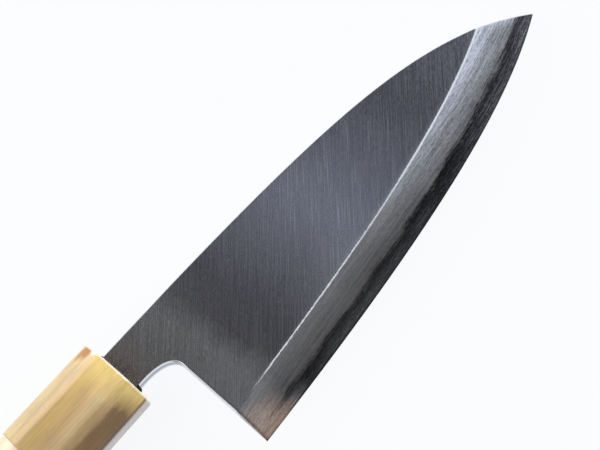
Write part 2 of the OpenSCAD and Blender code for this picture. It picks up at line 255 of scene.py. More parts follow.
class HandleSizes(PropertyGroup):
    """Sizes of the handle and its ferrule."""

    length: size("Length", "Handle with its ferrule", KNIFE_ORIGIN.x - HANDLE_LOW.x)
    front_height: size("Front height", "Height of the octagon at the front", 25.3 * MM)
    front_thickness: size("Front thickness", "Thickness of the octagon at the front", 22.6 * MM)
    front_cut: size("Front cut", "Size of the octagon's corner cuts at the front", 6.8 * MM)
    butt_height: size("Butt height", "Height of the octagon at the butt", HANDLE_HIGH.y - HANDLE_LOW.y)
    butt_thickness: size("Butt thickness", "Thickness at the butt", HANDLE_HIGH.z - HANDLE_LOW.z)
    butt_cut: size("Butt cut", "Size of the octagon's corner cuts at the butt", 7.4 * MM)
    edge_soft: size("Soft edges", "Rounding of the lengthwise edges", 3.5 * MM)
    butt_round: size("Butt rounding", "Rounding round the butt", 1.6 * MM)
    ferrule_length: size("Ferrule length", "Length of the horn", FERRULE_HIGH.x - FERRULE_LOW.x)
    rim_round: size("Rim rounding", "Rounding of the ferrule's front rim", 0.9 * MM)
    seam: size("Seam", "Depth of the groove where horn and wood meet", 0.35 * MM)
    front_wall: size("Front wall", "Thickness of the ferrule's front wall", 8 * MM)
    tenon: size("Tenon", "Diameter of the wooden tenon", 17 * MM)
    tenon_fit: size("Tenon fit", "Clearance round the tenon", 0.05 * MM)
    tenon_gap: size("Tenon gap", "Gap in front of the tenon", 0.3 * MM)
    bed_gap: size("Bedding", "Resin all round the tang", 0.7 * MM)


class Finishes(PropertyGroup):
    """Colours of the knife's materials."""

    # The flat's colours turn from warm by the notch to blue further on: a painted reflection tint
    flat_warm: colour("Flat at notch", "Brushed flat of the cladding by the notch", (168, 170, 173))
    flat_heel: colour("Flat at heel", "Brushed flat of the cladding near the heel", (170, 170, 180))
    flat_steel: colour("Flat", "Brushed flat of the cladding further on", (167, 170, 187))
    # Colour of the real hair scratches and of the painted highlights by the heel and the ridge
    scratch_and_highlight: colour("Scratches", "Hair scratches and the halo by the ridge", (228, 232, 242))
    iron_dark: colour("Dark iron", "Cladding on the bevel near the weld", (186, 186, 188))
    # Misty iron; its paling and blue towards the tip is a painted reflection
    iron_pale: colour("Pale iron", "Misty cladding near the ridge and the tip", (228, 236, 255))
    steel_heel: colour("Steel at heel", "Edge steel on the bevel near the heel", (100, 101, 104))
    # Paler and bluer than the heel's steel: a painted reflection
    steel_tip: colour("Steel at tip", "Edge steel on the bevel near the tip", (136, 138, 149))
    edge_dark: colour("Edge line", "Fine bevel along the edge", (70, 71, 76))
    # Painted warm reflection at the heel
    heel_reflection_brown: colour("Heel brown", "Warm tint at the heel's edge", (255, 220, 202))
    heel_reflection_rose: colour("Heel rose", "Warm tint at the heel under the ridge", (240, 221, 215))
    # Painted warm reflection on the neck
    neck_reflection_brown: colour("Neck bloom", "Brown bloom on the neck", (200, 184, 180))
    # Painted shade by the ferrule and along the heel wall
    neck_shade: colour("Neck shade", "Darkened neck by the ferrule", (116, 112, 114))
    # Painted highlight along the ridge
    ridge_glint: colour("Worn ridge", "Bright wear along the ridge", (238, 245, 255))
    polished: colour("Polished steel", "Notch, spine and back", (222, 225, 238))
    wall_dark: colour("Dark wall", "Heel wall under the ridge", (92, 95, 104))
    # Darker brown spot in the notch's corner
    wall_corner_dark: colour("Wall stain", "Brown stain in the notch's corner", (96, 90, 90))
    wall_line: colour("Wall line", "Grey line along the notch's wall", (132, 139, 152))
    # Brown below and cream above are partly the horn's own colour, partly painted shade and light
    horn_brown: colour("Brown horn", "Lower side of the horn", (146, 116, 80))
    horn_dun: colour("Dun horn", "Darker streaks of the horn", (206, 174, 126))
    horn_straw: colour("Straw horn", "Light streaks below the middle", (224, 200, 154))
    horn_tan: colour("Tan horn", "Middle of the horn", (220, 186, 134))
    horn_gold: colour("Golden horn", "Golden streaks above the middle", (226, 194, 124))
    # Painted highlight along the horn's upper edge
    horn_lilac_highlight: colour("Lilac horn", "Pale streak along the upper edge", (216, 196, 170))
    horn_cream: colour("Cream horn", "Upper side of the horn", (218, 196, 142))
    horn_yellow: colour("Yellow horn", "Front of the horn", (255, 223, 142))
    horn_orange: colour("Orange horn", "Patch at the front", (186, 124, 66))
    # Painted reflection on the horn's underside
    horn_underside_reflection: colour("Grey horn", "Underside of the horn", (206, 196, 194))
    # Painted shade on the edge above the underside
    horn_edge_shade: colour("Dark horn", "Line between lower side and underside", (84, 70, 60))
    # Painted highlight on the front rim
    horn_rim_highlight: colour("Horn rim", "Pale front rim", (248, 240, 226))
    wood_pale: colour("Pale wood", "Ground colour of the wood", (250, 240, 218))
    wood_dark: colour("Dark wood", "Grain of the wood", (228, 208, 174))
    wood_pore: colour("Wood pores", "Pores of the wood", (164, 134, 98))
    resin: colour("Resin", "Bedding of the tang", (30, 24, 21))
    floor: colour("Floor", "Studio floor", (250, 250, 251))
    backdrop: colour("Backdrop", "Even white of the floor as it is seen", (252, 254, 255))


class Studio(PropertyGroup):
    """Camera and light."""

    azimuth: angle("Azimuth", "Camera's turn round the knife", -49.695)
    elevation: angle("Elevation", "Camera's height over the horizon", 71)
    distance: size("Distance", "Camera to its target", 345.5 * MM)
    target: FloatVectorProperty(
        name="Target", description="Point that the camera looks at, in the knife's axes", size=3,
        default=(71.362 * MM, -9.967 * MM, -3.357 * MM), unit="LENGTH", precision=5,
    )
    focal_length: factor("Focal length", "Camera's lens in millimetres on a 36 mm sensor", 66)
    floor_span: size("Floor span", "Side of the floor", 6)


def mix(a, b, share):
    """Straight blend from a, at share 0, to b, at share 1."""
    return a + (b - a) * share


def cubic(points, t):
    """Cubic curve: its four points weighted by (1-t)^3, 3t(1-t)^2, 3t^2(1-t) and t^3."""
    t = np.asarray(t, float)[..., None]
    a, b, c, d = points
    return (1 - t) ** 3 * a + 3 * (1 - t) ** 2 * t * b + 3 * (1 - t) * t**2 * c + t**3 * d


def cubic_left(points, t):
    """Unit normal on a cubic curve's left: its slope, turned a quarter and made one long."""
    t = np.asarray(t, float)[..., None]
    a, b, c, d = points
    slope = (1 - t) ** 2 * (b - a) + 2 * (1 - t) * t * (c - b) + t**2 * (d - c)
    turned = np.stack([-slope[..., 1], slope[..., 0]], -1)
    return turned / np.linalg.norm(turned, axis=-1, keepdims=True)


def first_crossing(low, high, rising):
    """Where a rising function passes zero between low and high, by halving the range."""
    for _ in range(HALVINGS):
        middle = (low + high) / 2
        below = rising(middle) < 0
        low, high = np.where(below, middle, low), np.where(below, high, middle)
    return (low + high) / 2


def soft_min(a, b, reach):
    """The smaller of a and b, rounded by reach h^2 / 4 where they differ by less than reach."""
    h = np.clip(1 - np.abs(a - b) / reach, 0, 1)
    return np.minimum(a, b) - reach * h * h / 4


def eased_drop(depth, radius):
    """Drop of a quarter round of that radius at a distance depth in from its edge."""
    inside = np.clip(radius - depth, 0, radius)
    return radius - np.sqrt(np.maximum(radius**2 - inside**2, 0))


def spine_curve(b):
    """The spine's four control points in X and Y."""
    tip = np.array([b.reach, -b.tip_drop])
    back = b.spine_fall * np.array([-math.cos(b.spine_tip_angle), math.sin(b.spine_tip_angle)])
    return np.array([[0, b.spine_rise], [b.spine_level, b.spine_rise], tip + back, tip])


def edge_curve(b):
    """The edge's four control points in X and Y."""
    heel, tip = np.array([b.heel_x, -b.heel_drop]), np.array([b.reach, -b.tip_drop])
    start = b.edge_heel_run * np.array([math.cos(b.edge_heel_angle), math.sin(b.edge_heel_angle)])
    end = b.edge_tip_run * np.array([math.cos(b.edge_tip_angle), math.sin(b.edge_tip_angle)])
    return np.array([heel, heel + start, tip - end, tip])


def notch_curve(b):
    """The notch's four control points in X and Y, from the neck's lower edge to the heel wall."""
    low = b.spine_rise - b.neck_height
    return np.array([
        [b.notch_start, low],
        [b.notch_start + b.notch_neck_run, low],
        [b.notch_width, low - b.notch_drop + b.notch_wall_run],
        [b.notch_width, low - b.notch_drop],
    ])


def spine_height(b, x):
    """Height of the spine over the handle's axis at x, read off the dense curve."""
    points = cubic(spine_curve(b), np.linspace(0, 1, SPINE_SAMPLES))
    return np.interp(x, points[:, 0], points[:, 1])


def flat_thickness(b, x):
    """Thickness under the flat: from neck to tip by a power of the share of the reach."""
    share = np.clip(x / b.reach, 0, None)
    return b.neck_thickness - (b.neck_thickness - b.tip_thickness) * share**b.taper_power


def bevel_width(b, x):
    """Width of the bevel: straight from heel to tip."""
    return mix(b.bevel_heel, b.bevel_tip, (x - b.heel_x) / (b.reach - b.heel_x))


def bevel_height(b, w, width, ridge):
    """Height of the bevel at w from the edge: the fine bevel's slope, then a straight rise to the
    ridge with a bow of 4 s (1 - s)."""
    s = (w - b.fine_bevel) / (width - b.fine_bevel)
    fine_top = b.fine_bevel * math.tan(b.fine_angle)
    face = mix(fine_top, ridge, s) + 4 * b.bevel_bow * s * (1 - s)
    return np.where(w < b.fine_bevel, w * math.tan(b.fine_angle), face)


def weld_thickness(b, x):
    """Height of the weld: a share of the thickness with a long and a short sine wave, which shrink
    with the square of the thickness, feathered out towards the neck."""
    feather = np.clip((x - b.steel_start) / (b.steel_full - b.steel_start), 0, 1)
    thickness = flat_thickness(b, x)
    share = mix(b.steel_heel, b.steel_tip, (x - b.heel_x) / (b.reach - b.heel_x))
    waves = b.weld_long * np.sin(2 * np.pi * x / b.weld_long_length)
    waves = waves + b.weld_short * np.sin(2 * np.pi * x / b.weld_short_length)
    return feather * (share * thickness + waves * (thickness / b.neck_thickness) ** 2)


def wall_reach(b, y):
    """X of the heel wall at a height y: straight from the notch's curve to the heel."""
    top = notch_curve(b)[3, 1]
    return mix(b.notch_width, b.heel_x, np.clip((top - y) / (top + b.heel_drop), 0, 1))


def upper_columns(start, end, radius):
    """Columns from start to end along a line, the last ones crowding into the eased edge: even
    steps, then steps that are shares of the edge's radius."""
    eased = end[:, None] - radius[:, None] * EASED_STEPS[::-1]
    even = mix(start[:, None], eased[:, :1], np.linspace(0, 1, UPPER_COLUMNS + 1)[:-1])
    return np.hstack([even, eased])


def edge_lines(b, t):
    """Lines across the blade, square to the edge at each t: start, direction, and the distances at
    which each meets the weld, the ridge and the spine, with the bevel's width and ridge height."""
    start = cubic(edge_curve(b), t)
    inward = cubic_left(edge_curve(b), t)
    width = bevel_width(b, start[:, 0])
    ridge = flat_thickness(b, start[:, 0] + inward[:, 0] * width)

    def over_spine(w):
        return start[:, 1] + inward[:, 1] * w - spine_height(b, start[:, 0] + inward[:, 0] * w)

    def over_weld(w):
        return bevel_height(b, w, width, ridge) - weld_thickness(b, start[:, 0] + inward[:, 0] * w)

    zero = np.zeros_like(t)
    to_spine = first_crossing(zero, zero + 2 * b.heel_drop, over_spine)
    to_ridge = np.minimum(width, to_spine)
    to_weld = first_crossing(zero, to_ridge, over_weld)
    return SimpleNamespace(
        start=start, inward=inward, width=width, ridge=ridge,
        to_weld=to_weld, to_ridge=to_ridge, to_spine=to_spine,
    )


def tang_size(b, x):
    """Height and thickness of tang and neck at x: straight from the end to the shoulder, and from
    there to the ferrule's front."""
    stops = [-b.tang_length, -b.shoulder_length, 0]
    height = np.interp(x, stops, [b.tang_end_height, b.tang_root_height, b.neck_height])
    thickness = np.interp(x, stops, [b.tang_end_thickness, b.tang_root_thickness, b.neck_thickness])
    return height, thickness


def neck_net(b):
    """Net of the tang and the neck: rows along X, columns from the lower edge up to the spine.

    Rows stand on the tang's and the neck's straight lower edge and then follow the notch's curve,
    where column j lies on the curve's normal at the distance of column j."""
    middle = b.spine_rise - b.neck_height / 2
    curve = notch_curve(b)
    straight = np.array([-b.tang_length, -b.shoulder_length, -b.shoulder_length / 2, 0])
    tang_rows = straight < 0

    def past_steel(t):
        return cubic(curve, t)[..., 0] - b.steel_start

    steel_at = first_crossing(np.zeros(1), np.ones(1), past_steel)[0]
    before = np.linspace(0, steel_at, STEEL_STEPS + 1)[:-1]
    turn = np.concatenate([before, np.linspace(steel_at, 1, NOTCH_STEPS + 1)])
    steel_row = len(straight) + len(before)
    half = tang_size(b, straight)[0] / 2
    depth = b.eased * EASED_STEPS
    low_x = np.repeat(straight[:, None], len(depth), 1)
    low_y = (middle - half)[:, None] + depth
    rim = np.concatenate([
        np.stack([low_x, low_y], -1),
        cubic(curve, turn)[:, None] + cubic_left(curve, turn)[:, None] * depth[:, None],
    ])
    x = rim[:, -1, 0]
    top_y = spine_height(b, x)
    top_y[: len(straight)][tang_rows] = (middle + half)[tang_rows]
    radius = np.full_like(x, b.eased)
    y = upper_columns(rim[:, -1, 1], top_y, radius)
    upper = np.stack([np.repeat(x[:, None], y.shape[1], 1), y], -1)
    plan = np.concatenate([rim, upper[:, 1:]], 1)
    drop = np.hstack([
        np.repeat(eased_drop(depth, b.eased)[None], len(x), 0),
        eased_drop(top_y[:, None] - y[:, 1:], b.eased),
    ])
    thickness = tang_size(b, x)[1]
    centre = b.neck_thickness / 2
    forward = plan[..., 0]
    top = np.where(forward < 0, (centre + thickness / 2)[:, None], flat_thickness(b, forward)) - drop
    low = np.where(forward < 0, (centre - thickness / 2)[:, None], weld_thickness(b, forward))
    low[steel_row] = 0
    return SimpleNamespace(
        plan=plan, top=top, low=low, place=np.full_like(plan, FAR),
        rim_columns=len(depth), steel_row=steel_row,
    )


def blade_net(b, neck):
    """Net of the blade: rows along the edge, columns across from the edge to the spine.

    Row t lies on the edge's normal at t. Near the heel the rows slide forward, by a fading square,
    onto the heel wall. top is the softened smaller of the bevel and the flat, weld the height of
    the weld, and back the hollow: an arc of the hollow's radius between the two rims, faded at its
    ends by 1 - (2a - 1)^6. Its ends in t follow from a cubic curve's speed there, 3 times the run."""
    one = np.ones(1)

    def past_ridge(t):
        lines = edge_lines(b, t)
        return lines.width - lines.to_spine

    def past_weld(t):
        lines = edge_lines(b, t)
        x = lines.start[:, 0] + lines.inward[:, 0] * lines.to_spine
        return weld_thickness(b, x) - bevel_height(b, lines.to_spine, lines.width, lines.ridge)

    ridge_end = first_crossing(one / 2, one, past_ridge)[0]
    weld_end = first_crossing(one * ridge_end, one, past_weld)[0]
    t = np.concatenate([
        ridge_end * np.linspace(0, 1, FLAT_ROWS + 1)[:-1] ** HEEL_CROWDING,
        np.linspace(ridge_end, weld_end, BEVEL_ROWS + 1)[:-1],
        np.linspace(weld_end, 1, POINT_ROWS + 1),
    ])
    lines = edge_lines(b, t)
    fine = np.minimum(b.fine_bevel, lines.to_weld * FINE_SHARE)
    band = np.linspace(0, 1, BAND_COLUMNS + 1)
    crowd = 1 - np.linspace(1, 0, BEVEL_COLUMNS + 1)[1:] ** 2
    spread = np.linspace(0, 1, LOWER_COLUMNS + 1)[1:] ** 2
    wall_top = notch_curve(b)[3, 1]
    flat_span = lines.to_spine - lines.to_ridge
    wall_span = (wall_top - lines.start[0, 1]) / lines.inward[0, 1] - lines.to_ridge[0]
    to_wall_top = lines.to_ridge + flat_span * wall_span / flat_span[0]
    radius = np.minimum(b.eased, SPINE_EASE * flat_span)
    w = np.hstack([
        fine[:, None] * FINE_STEPS,
        mix(fine[:, None], lines.to_weld[:, None], band),
        mix(lines.to_weld[:, None], lines.to_ridge[:, None], crowd),
        mix(lines.to_ridge[:, None], to_wall_top[:, None], spread),
        upper_columns(to_wall_top, lines.to_spine, radius)[:, 1:],
    ])
    weld_column = len(FINE_STEPS) + BAND_COLUMNS
    ridge_column = weld_column + BEVEL_COLUMNS
    wall_column = ridge_column + LOWER_COLUMNS
    plan = lines.start[:, None] + lines.inward[:, None] * w[..., None]
    fade = np.clip(1 - t / b.heel_blend, 0, 1)[:, None] ** 2
    slide = fade * (wall_reach(b, plan[0, :, 1]) + b.eased * EASED_STEPS[-1] - plan[0, :, 0])
    plan[..., 0] += slide
    lift = spine_height(b, plan[:, -1, 0]) - plan[:, -1, 1]
    plan[:, wall_column:, 1] += lift[:, None] * np.linspace(0, 1, plan.shape[1] - wall_column)
    across = np.maximum(w + slide * lines.inward[:, :1], 0)
    bevel = bevel_height(b, across, lines.width[:, None], lines.ridge[:, None])
    flat = flat_thickness(b, plan[..., 0])
    top = soft_min(bevel, flat, b.ridge_soft)
    drop = eased_drop(lines.to_spine[:, None] - w, radius[:, None])
    top[:, wall_column:] -= drop[:, wall_column:]
    plan[0, wall_column:] = neck.plan[-1, neck.rim_columns - 1:]
    top[0, wall_column:] = neck.top[-1, neck.rim_columns - 1:]
    weld = np.minimum(weld_thickness(b, plan[..., 0]), top)
    weld[:, weld_column] = top[:, weld_column]
    chord = np.maximum(lines.to_spine - b.rim_spine - b.rim_edge, 0)
    v = np.clip(2 * (w - b.rim_edge) / np.maximum(chord, MM)[:, None] - 1, -1, 1)
    first, last = b.rim_heel / (3 * b.edge_heel_run), 1 - b.rim_tip / (3 * b.edge_tip_run)
    along = np.clip((t - first) / (last - first), 0, 1)
    depth = chord**2 / (8 * b.hollow_radius) * (1 - (2 * along - 1) ** HOLLOW_FADE)
    back = depth[:, None] * (1 - v**2)
    back[0] = 0
    arc = np.concatenate([[0], np.cumsum(np.linalg.norm(np.diff(lines.start, axis=0), axis=1))])
    place = np.stack([across - lines.to_ridge[:, None], across - lines.to_weld[:, None]], -1)
    return SimpleNamespace(
        plan=plan, top=top, weld=weld, back=back, along=arc, across=across, place=place,
        weld_column=weld_column, ridge_column=ridge_column, wall_column=wall_column,
        ridge_row=FLAT_ROWS, weld_row=FLAT_ROWS + BEVEL_ROWS,
    )


def heel_net(b, blade):
    """Net of the eased strip along the heel wall: rows are distances from the wall, columns are
    those of the blade's first row, and the edge drops by a quarter round."""
    depth = b.eased * EASED_STEPS
    columns, flat = slice(0, blade.wall_column + 1), slice(blade.ridge_column + 1, None)
    line, height = blade.plan[0, columns], blade.top[0, columns]
    plan = np.stack(np.broadcast_arrays(wall_reach(b, line[:, 1]) + depth[:, None], line[:, 1]), -1)
    top = height - eased_drop(depth[:, None], np.minimum(b.eased, HEEL_EASE * height))
    top[:, flat] += (flat_thickness(b, plan[..., 0]) - flat_thickness(b, line[:, 0]))[:, flat]
    weld = np.minimum(weld_thickness(b, plan[..., 0]), top)
    weld[:, blade.weld_column] = top[:, blade.weld_column]
    weld[-1] = blade.weld[0, columns]
    return SimpleNamespace(
        plan=plan, top=top, weld=weld, back=np.zeros_like(top), along=plan[..., 0] - line[:, 0],
        place=np.repeat(blade.place[:1, columns], len(depth), 0),
    )


def blade_forms(b):
    """The three nets of the blade: tang with neck, blade, and strip along the heel wall."""
    neck = neck_net(b)
    blade = blade_net(b, neck)
    return neck, blade, heel_net(b, blade)


def lifted(b, plan, height):
    """Points of a net at a height over the back, in the knife's axes."""
    return np.concatenate([plan, (height - b.neck_thickness / 2)[..., None]], -1)


def sheet(points, grain, finish, place=None):
    """One patch of a piece: a grid of points, its polishing direction as a UV grid, its finish,
    and its distances from the ridge and the weld as a second UV grid."""
    if place is None:
        place = np.full_like(grain, FAR)
    return SimpleNamespace(points=points, grain=grain, finish=finish, place=place)


def brushed(points, direction):
    """UV grid whose U runs along a brushing direction in the plane of the blade."""
    c, s = math.cos(direction), math.sin(direction)
    x, y = points[..., 0], points[..., 1]
    return np.stack([x * c + y * s, y * c - x * s], -1)


def along_wall(points):
    """UV grid whose U runs along a wall and V up it."""
    run = np.linalg.norm(np.diff(points[:, :1], axis=0), axis=-1)
    run = np.concatenate([[[0]], np.cumsum(run, 0)])
    return np.stack([np.repeat(run, points.shape[1], 1), points[..., 2]], -1)


def face(b, form, rows, columns, height, direction, finish):
    """Sheet of a net's rows and columns at a height, brushed in one direction."""
    points = lifted(b, form.plan[rows, columns], height[rows, columns])
    return sheet(points, brushed(points, direction), finish, form.place[rows, columns])


def ground(b, form, rows, columns, along, across, finish):
    """Sheet of the bevel: U runs along the edge and V away from it."""
    points = lifted(b, form.plan[rows, columns], form.top[rows, columns])
    grain = np.stack(np.broadcast_arrays(along, across), -1)
    return sheet(points, grain, finish, form.place[rows, columns])


def upright(b, line, top, low, finish):
    """Sheet of an upright wall along a line of the net, from one height down to another."""
    height = mix(top[:, None], low[:, None], np.linspace(0, 1, WALL_STEPS + 1))
    points = lifted(b, np.repeat(line[:, None], WALL_STEPS + 1, 1), height)
    return sheet(points, along_wall(points), finish)


def linked(name, data):
    """An object with that data, in the scene."""
    made = bpy.data.objects.new(name, data)
    bpy.context.scene.collection.objects.link(made)
    return made


def aimed(made, place, direction):
    """Puts a lamp or the camera in its place and turns it to a direction."""
    made.location = place
    made.rotation_mode = "QUATERNION"
    made.rotation_quaternion = direction.to_track_quat("-Z", "Y")


def stitched(name, sheets, materials):
    """A mesh object from sheets that share their border points: every sheet becomes quads, points
    that coincide are merged, and all faces are turned outwards."""
    points, faces, finishes = [], [], []
    maps = {"grain": [], "place": []}
    first = 0
    for part in sheets:
        rows, columns = part.points.shape[:2]
        index = first + np.arange(rows * columns).reshape(rows, columns)
        corners = [index[:-1, :-1], index[1:, :-1], index[1:, 1:], index[:-1, 1:]]
        quads = np.stack(corners, -1).reshape(-1, 4)
        points.append(part.points.reshape(-1, 3))
        maps["grain"].append(part.grain.reshape(-1, 2))
        maps["place"].append(part.place.reshape(-1, 2))
        faces.append(quads)
        finishes.append(np.full(len(quads), part.finish))
        first += rows * columns
    places = np.concatenate(points) + np.array(KNIFE_ORIGIN)
    quads = np.concatenate(faces)
    mesh = bpy.data.meshes.new(name)
    mesh.from_pydata(places.tolist(), [], quads.tolist())
    for material in materials:
        mesh.materials.append(material)
    mesh.polygons.foreach_set("material_index", np.concatenate(finishes).astype(np.int32))
    for title, values in maps.items():
        layer = mesh.uv_layers.new(name=title)
        layer.uv.foreach_set("vector", np.concatenate(values)[quads.ravel()].astype(np.float32).ravel())
    shape = bmesh.new()
    shape.from_mesh(mesh)
    bmesh.ops.remove_doubles(shape, verts=shape.verts, dist=MERGE_DISTANCE)
    bmesh.ops.dissolve_degenerate(shape, edges=shape.edges, dist=MERGE_DISTANCE / 4)
    bmesh.ops.recalc_face_normals(shape, faces=shape.faces)
    shape.to_mesh(mesh)
    shape.free()
    mesh.polygons.foreach_set("use_smooth", np.ones(len(mesh.polygons), bool))
    mesh.set_sharp_from_angle(angle=SMOOTH_ANGLE)
    mesh.update()
    return linked(name, mesh)


def settled(piece, node):
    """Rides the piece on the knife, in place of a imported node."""
    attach(piece, "root")
    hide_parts(node)


def grip_rings(h, x, inset):
    """Octagon rings of the handle at each x, set in all round: every corner is an arc of the
    soft radius about the crossing of its two sides' lines, set in by that radius."""
    share = (-x / h.length)[:, None]
    height = mix(h.front_height, h.butt_height, share) / 2
    thickness = mix(h.front_thickness, h.butt_thickness, share) / 2
    slant = (height + thickness - mix(h.front_cut, h.butt_cut, share)) / math.sqrt(2)
    reach = np.hstack([height, slant, thickness, slant] * 2) - inset[:, None] - h.edge_soft
    following = np.roll(reach, -1, 1)
    side = SIDE_TURN * np.arange(SIDES)
    second = side + SIDE_TURN
    corner_y = (reach * np.sin(second) - following * np.sin(side)) / math.sin(SIDE_TURN)
    corner_z = (following * np.cos(side) - reach * np.cos(second)) / math.sin(SIDE_TURN)
    turn = side[:, None] + np.linspace(0, SIDE_TURN, CORNER_STEPS + 1)
    y = (corner_y[..., None] + h.edge_soft * np.cos(turn)).reshape(len(x), RING_POINTS)
    z = (corner_z[..., None] + h.edge_soft * np.sin(turn)).reshape(len(x), RING_POINTS)
    return np.stack([np.repeat(x[:, None], RING_POINTS, 1), y, z], -1)


def slot_ring(x, low, high, half):
    """Rectangle ring at x between two heights: its corners stand at odd eighths of the ring, with
    even steps between them."""
    place = np.arange(RING_POINTS) / RING_POINTS * SIDES
    corners = np.array([-1, 1, 3, 5, 7, 9])
    y = np.interp(place, corners, [high, high, low, low, high, high])
    z = np.interp(place, corners, [-half, half, half, -half, -half, half])
    return np.stack([np.full(RING_POINTS, x), y, z], -1)


def round_ring(x, radius):
    """Circle ring at x about the handle's axis."""
    turn = np.arange(RING_POINTS) / RING_POINTS * 2 * np.pi
    return np.stack([np.full(RING_POINTS, x), radius * np.cos(turn), radius * np.sin(turn)], -1)


def pole_ring(x, y):
    """Ring drawn together to one point at x, which closes a surface."""
    return np.tile([x, y, 0.0], (RING_POINTS, 1))


def ring_sheet(rings, finish):
    """Sheet through rings, closed round; U runs along the handle and V round it."""
    points = np.concatenate([rings, rings[:, :1]], 1)
    run = np.concatenate([[0], np.cumsum(np.linalg.norm(np.diff(points[:, 0], axis=0), axis=-1))])
    turn = np.linspace(0, 2 * np.pi * GRAIN_RADIUS, points.shape[1])
    grain = np.stack(np.broadcast_arrays(run[:, None], turn), -1)
    return sheet(points, grain, finish)


def tang_slot(b, h, x):
    """Slot for the tang at x, as (low, high, half thickness) with the resin's gap all round."""
    height, thickness = tang_size(b, x)
    middle = b.spine_rise - b.neck_height / 2
    half = height / 2 + h.bed_gap
    return middle - half, middle + half, thickness / 2 + h.bed_gap


def join(value, socket):
    """Sets a socket to a value, or links a node's output to it. Colours get full alpha."""
    if isinstance(value, Value):
        value.tree.links.new(value.output, socket)
    elif socket.type == "RGBA":
        socket.default_value = (*value, 1.0)
    else:
        socket.default_value = value


def dress(made, inputs):
    """Gives a node its inputs, each a value or another node's output."""
    for name, value in inputs.items():
        join(value, made.inputs[name])


def node(tree, kind, inputs=None, **settings):
    """A shader node with its settings and inputs."""
    made = tree.nodes.new("ShaderNode" + kind)
    for name, value in settings.items():
        setattr(made, name, value)
    dress(made, inputs or {})
    return made


class Value:
    """One output of a new node, with the arithmetic that the finishes are written in."""

    def __init__(self, tree, kind, inputs=None, output=0, **settings):
        self.tree = tree
        self.output = node(tree, kind, inputs, **settings).outputs[output]

    def step(self, operation, *others):
        """One step of arithmetic with numbers or other outputs."""
        return Value(self.tree, "Math", dict(enumerate((self, *others))), operation=operation)

    def __add__(self, other):
        return self.step("ADD", other)

    def __sub__(self, other):
        return self.step("SUBTRACT", other)

    def __mul__(self, other):
        return self.step("MULTIPLY", other)

    def __truediv__(self, other):
        return self.step("DIVIDE", other)

    def __abs__(self):
        return self.step("ABSOLUTE")

    def part(self, axis):
        """The X, Y or Z of a vector."""
        return Value(self.tree, "SeparateXYZ", {"Vector": self}, axis)

    def shaken(self, noise, reach):
        """Moved up and down by a noise, by half of reach each way."""
        return (noise - 0.5) * reach + self

    def scaled(self, low, high, new_low=0, new_high=1):
        """Carried from one range to another, held at its ends."""
        ranges = {"Value": self, "From Min": low, "From Max": high, "To Min": new_low, "To Max": new_high}
        return Value(self.tree, "MapRange", ranges)

    def ramp(self, stops):
        """Grey or coloured ramp through (place, tone) stops."""
        made = Value(self.tree, "ValToRGB", {"Fac": self})
        elements = made.output.node.color_ramp.elements
        while len(elements) < len(stops):
            elements.new(0.5)
        for element, (place, tone) in zip(elements, stops):
            element.position = place
            element.color = (*(tone if hasattr(tone, "__len__") else (tone,) * 3), 1.0)
        return made


def blended(share, first, second, mode="MIX"):
    """Two colours mixed by a share; one of the three at least is a node's output."""
    tree = next(value.tree for value in (share, first, second) if isinstance(value, Value))
    inputs = dict(zip(MIX_INPUTS, (share, first, second)))
    return Value(tree, "Mix", inputs, MIX_OUTPUT, data_type="RGBA", blend_type=mode)


def tinted(base, level, share=1.0):
    """A colour multiplied by a level, at a share of its strength."""
    return blended(share, base, level, "MULTIPLY")


def layered(base, layers):
    """A base colour with (share, colour) layers laid over it in order."""
    for share, tone in layers:
        base = blended(share, base, tone)
    return base


def surface(name):
    """An empty material, its nodes and its surface shader."""
    material = bpy.data.materials.new(name)
    material.use_nodes = True
    tree = material.node_tree
    tree.nodes.clear()
    shader = node(tree, "BsdfPrincipled")
    tree.links.new(shader.outputs[0], node(tree, "OutputMaterial").inputs["Surface"])
    return material, tree, shader


def uv_map(tree, name):
    """One of the piece's own maps, in metres: grain has U along the polishing strokes, and place has
    the signed distances from the ridge (U) and from the weld (V)."""
    return Value(tree, "UVMap", output="UV", uv_map=name)


def knife_place(tree):
    """A point's place in the knife's own axes, in metres."""
    packed = Value(tree, "TexCoord", output="Object")
    return Value(tree, "Mapping", {"Vector": packed, "Location": -KNIFE_ORIGIN})


def streaks(vector, along, across, turn=0, detail=2, shift=(0, 0, 0)):
    """Noise drawn out into strokes that long and that wide, turned in their plane."""
    spread = {"Location": shift, "Rotation": (0, 0, turn), "Scale": (along, across, across)}
    placed = Value(vector.tree, "Mapping", {"Vector": vector, **spread}, vector_type="TEXTURE")
    noise = {"Vector": placed, "Scale": 1, "Detail": detail, "Roughness": 0.6}
    return Value(vector.tree, "TexNoise", noise, "Fac")


def brushwork(vector, long, short, share):
    """Fine polishing strokes: long ones, broken up by a share of short ones."""
    first = streaks(vector, along=long, across=STROKE_WIDTH, detail=1)
    second = streaks(vector, along=short, across=STROKE_WIDTH, detail=1, shift=(0.3, 0.1, 0))
    return blended(share, first, second)


def spot(place, centre, radii, noise, tear):
    """Share of a soft spot: 1 inside an ellipsoid, 0 outside, its border torn by a noise."""
    spread = {"Vector": place, "Location": centre, "Scale": radii}
    inside = Value(place.tree, "Mapping", spread, vector_type="TEXTURE")
    off = Value(place.tree, "VectorMath", {0: inside}, "Value", operation="LENGTH")
    return off.shaken(noise, tear).scaled(0.5, 1.15, 1, 0)


def ground_relief(shader, height, strength, distance):
    """Bump of polishing strokes on a shader."""
    relief = {"Height": height, "Strength": strength, "Distance": distance}
    dress(shader, {"Normal": Value(height.tree, "Bump", relief)})


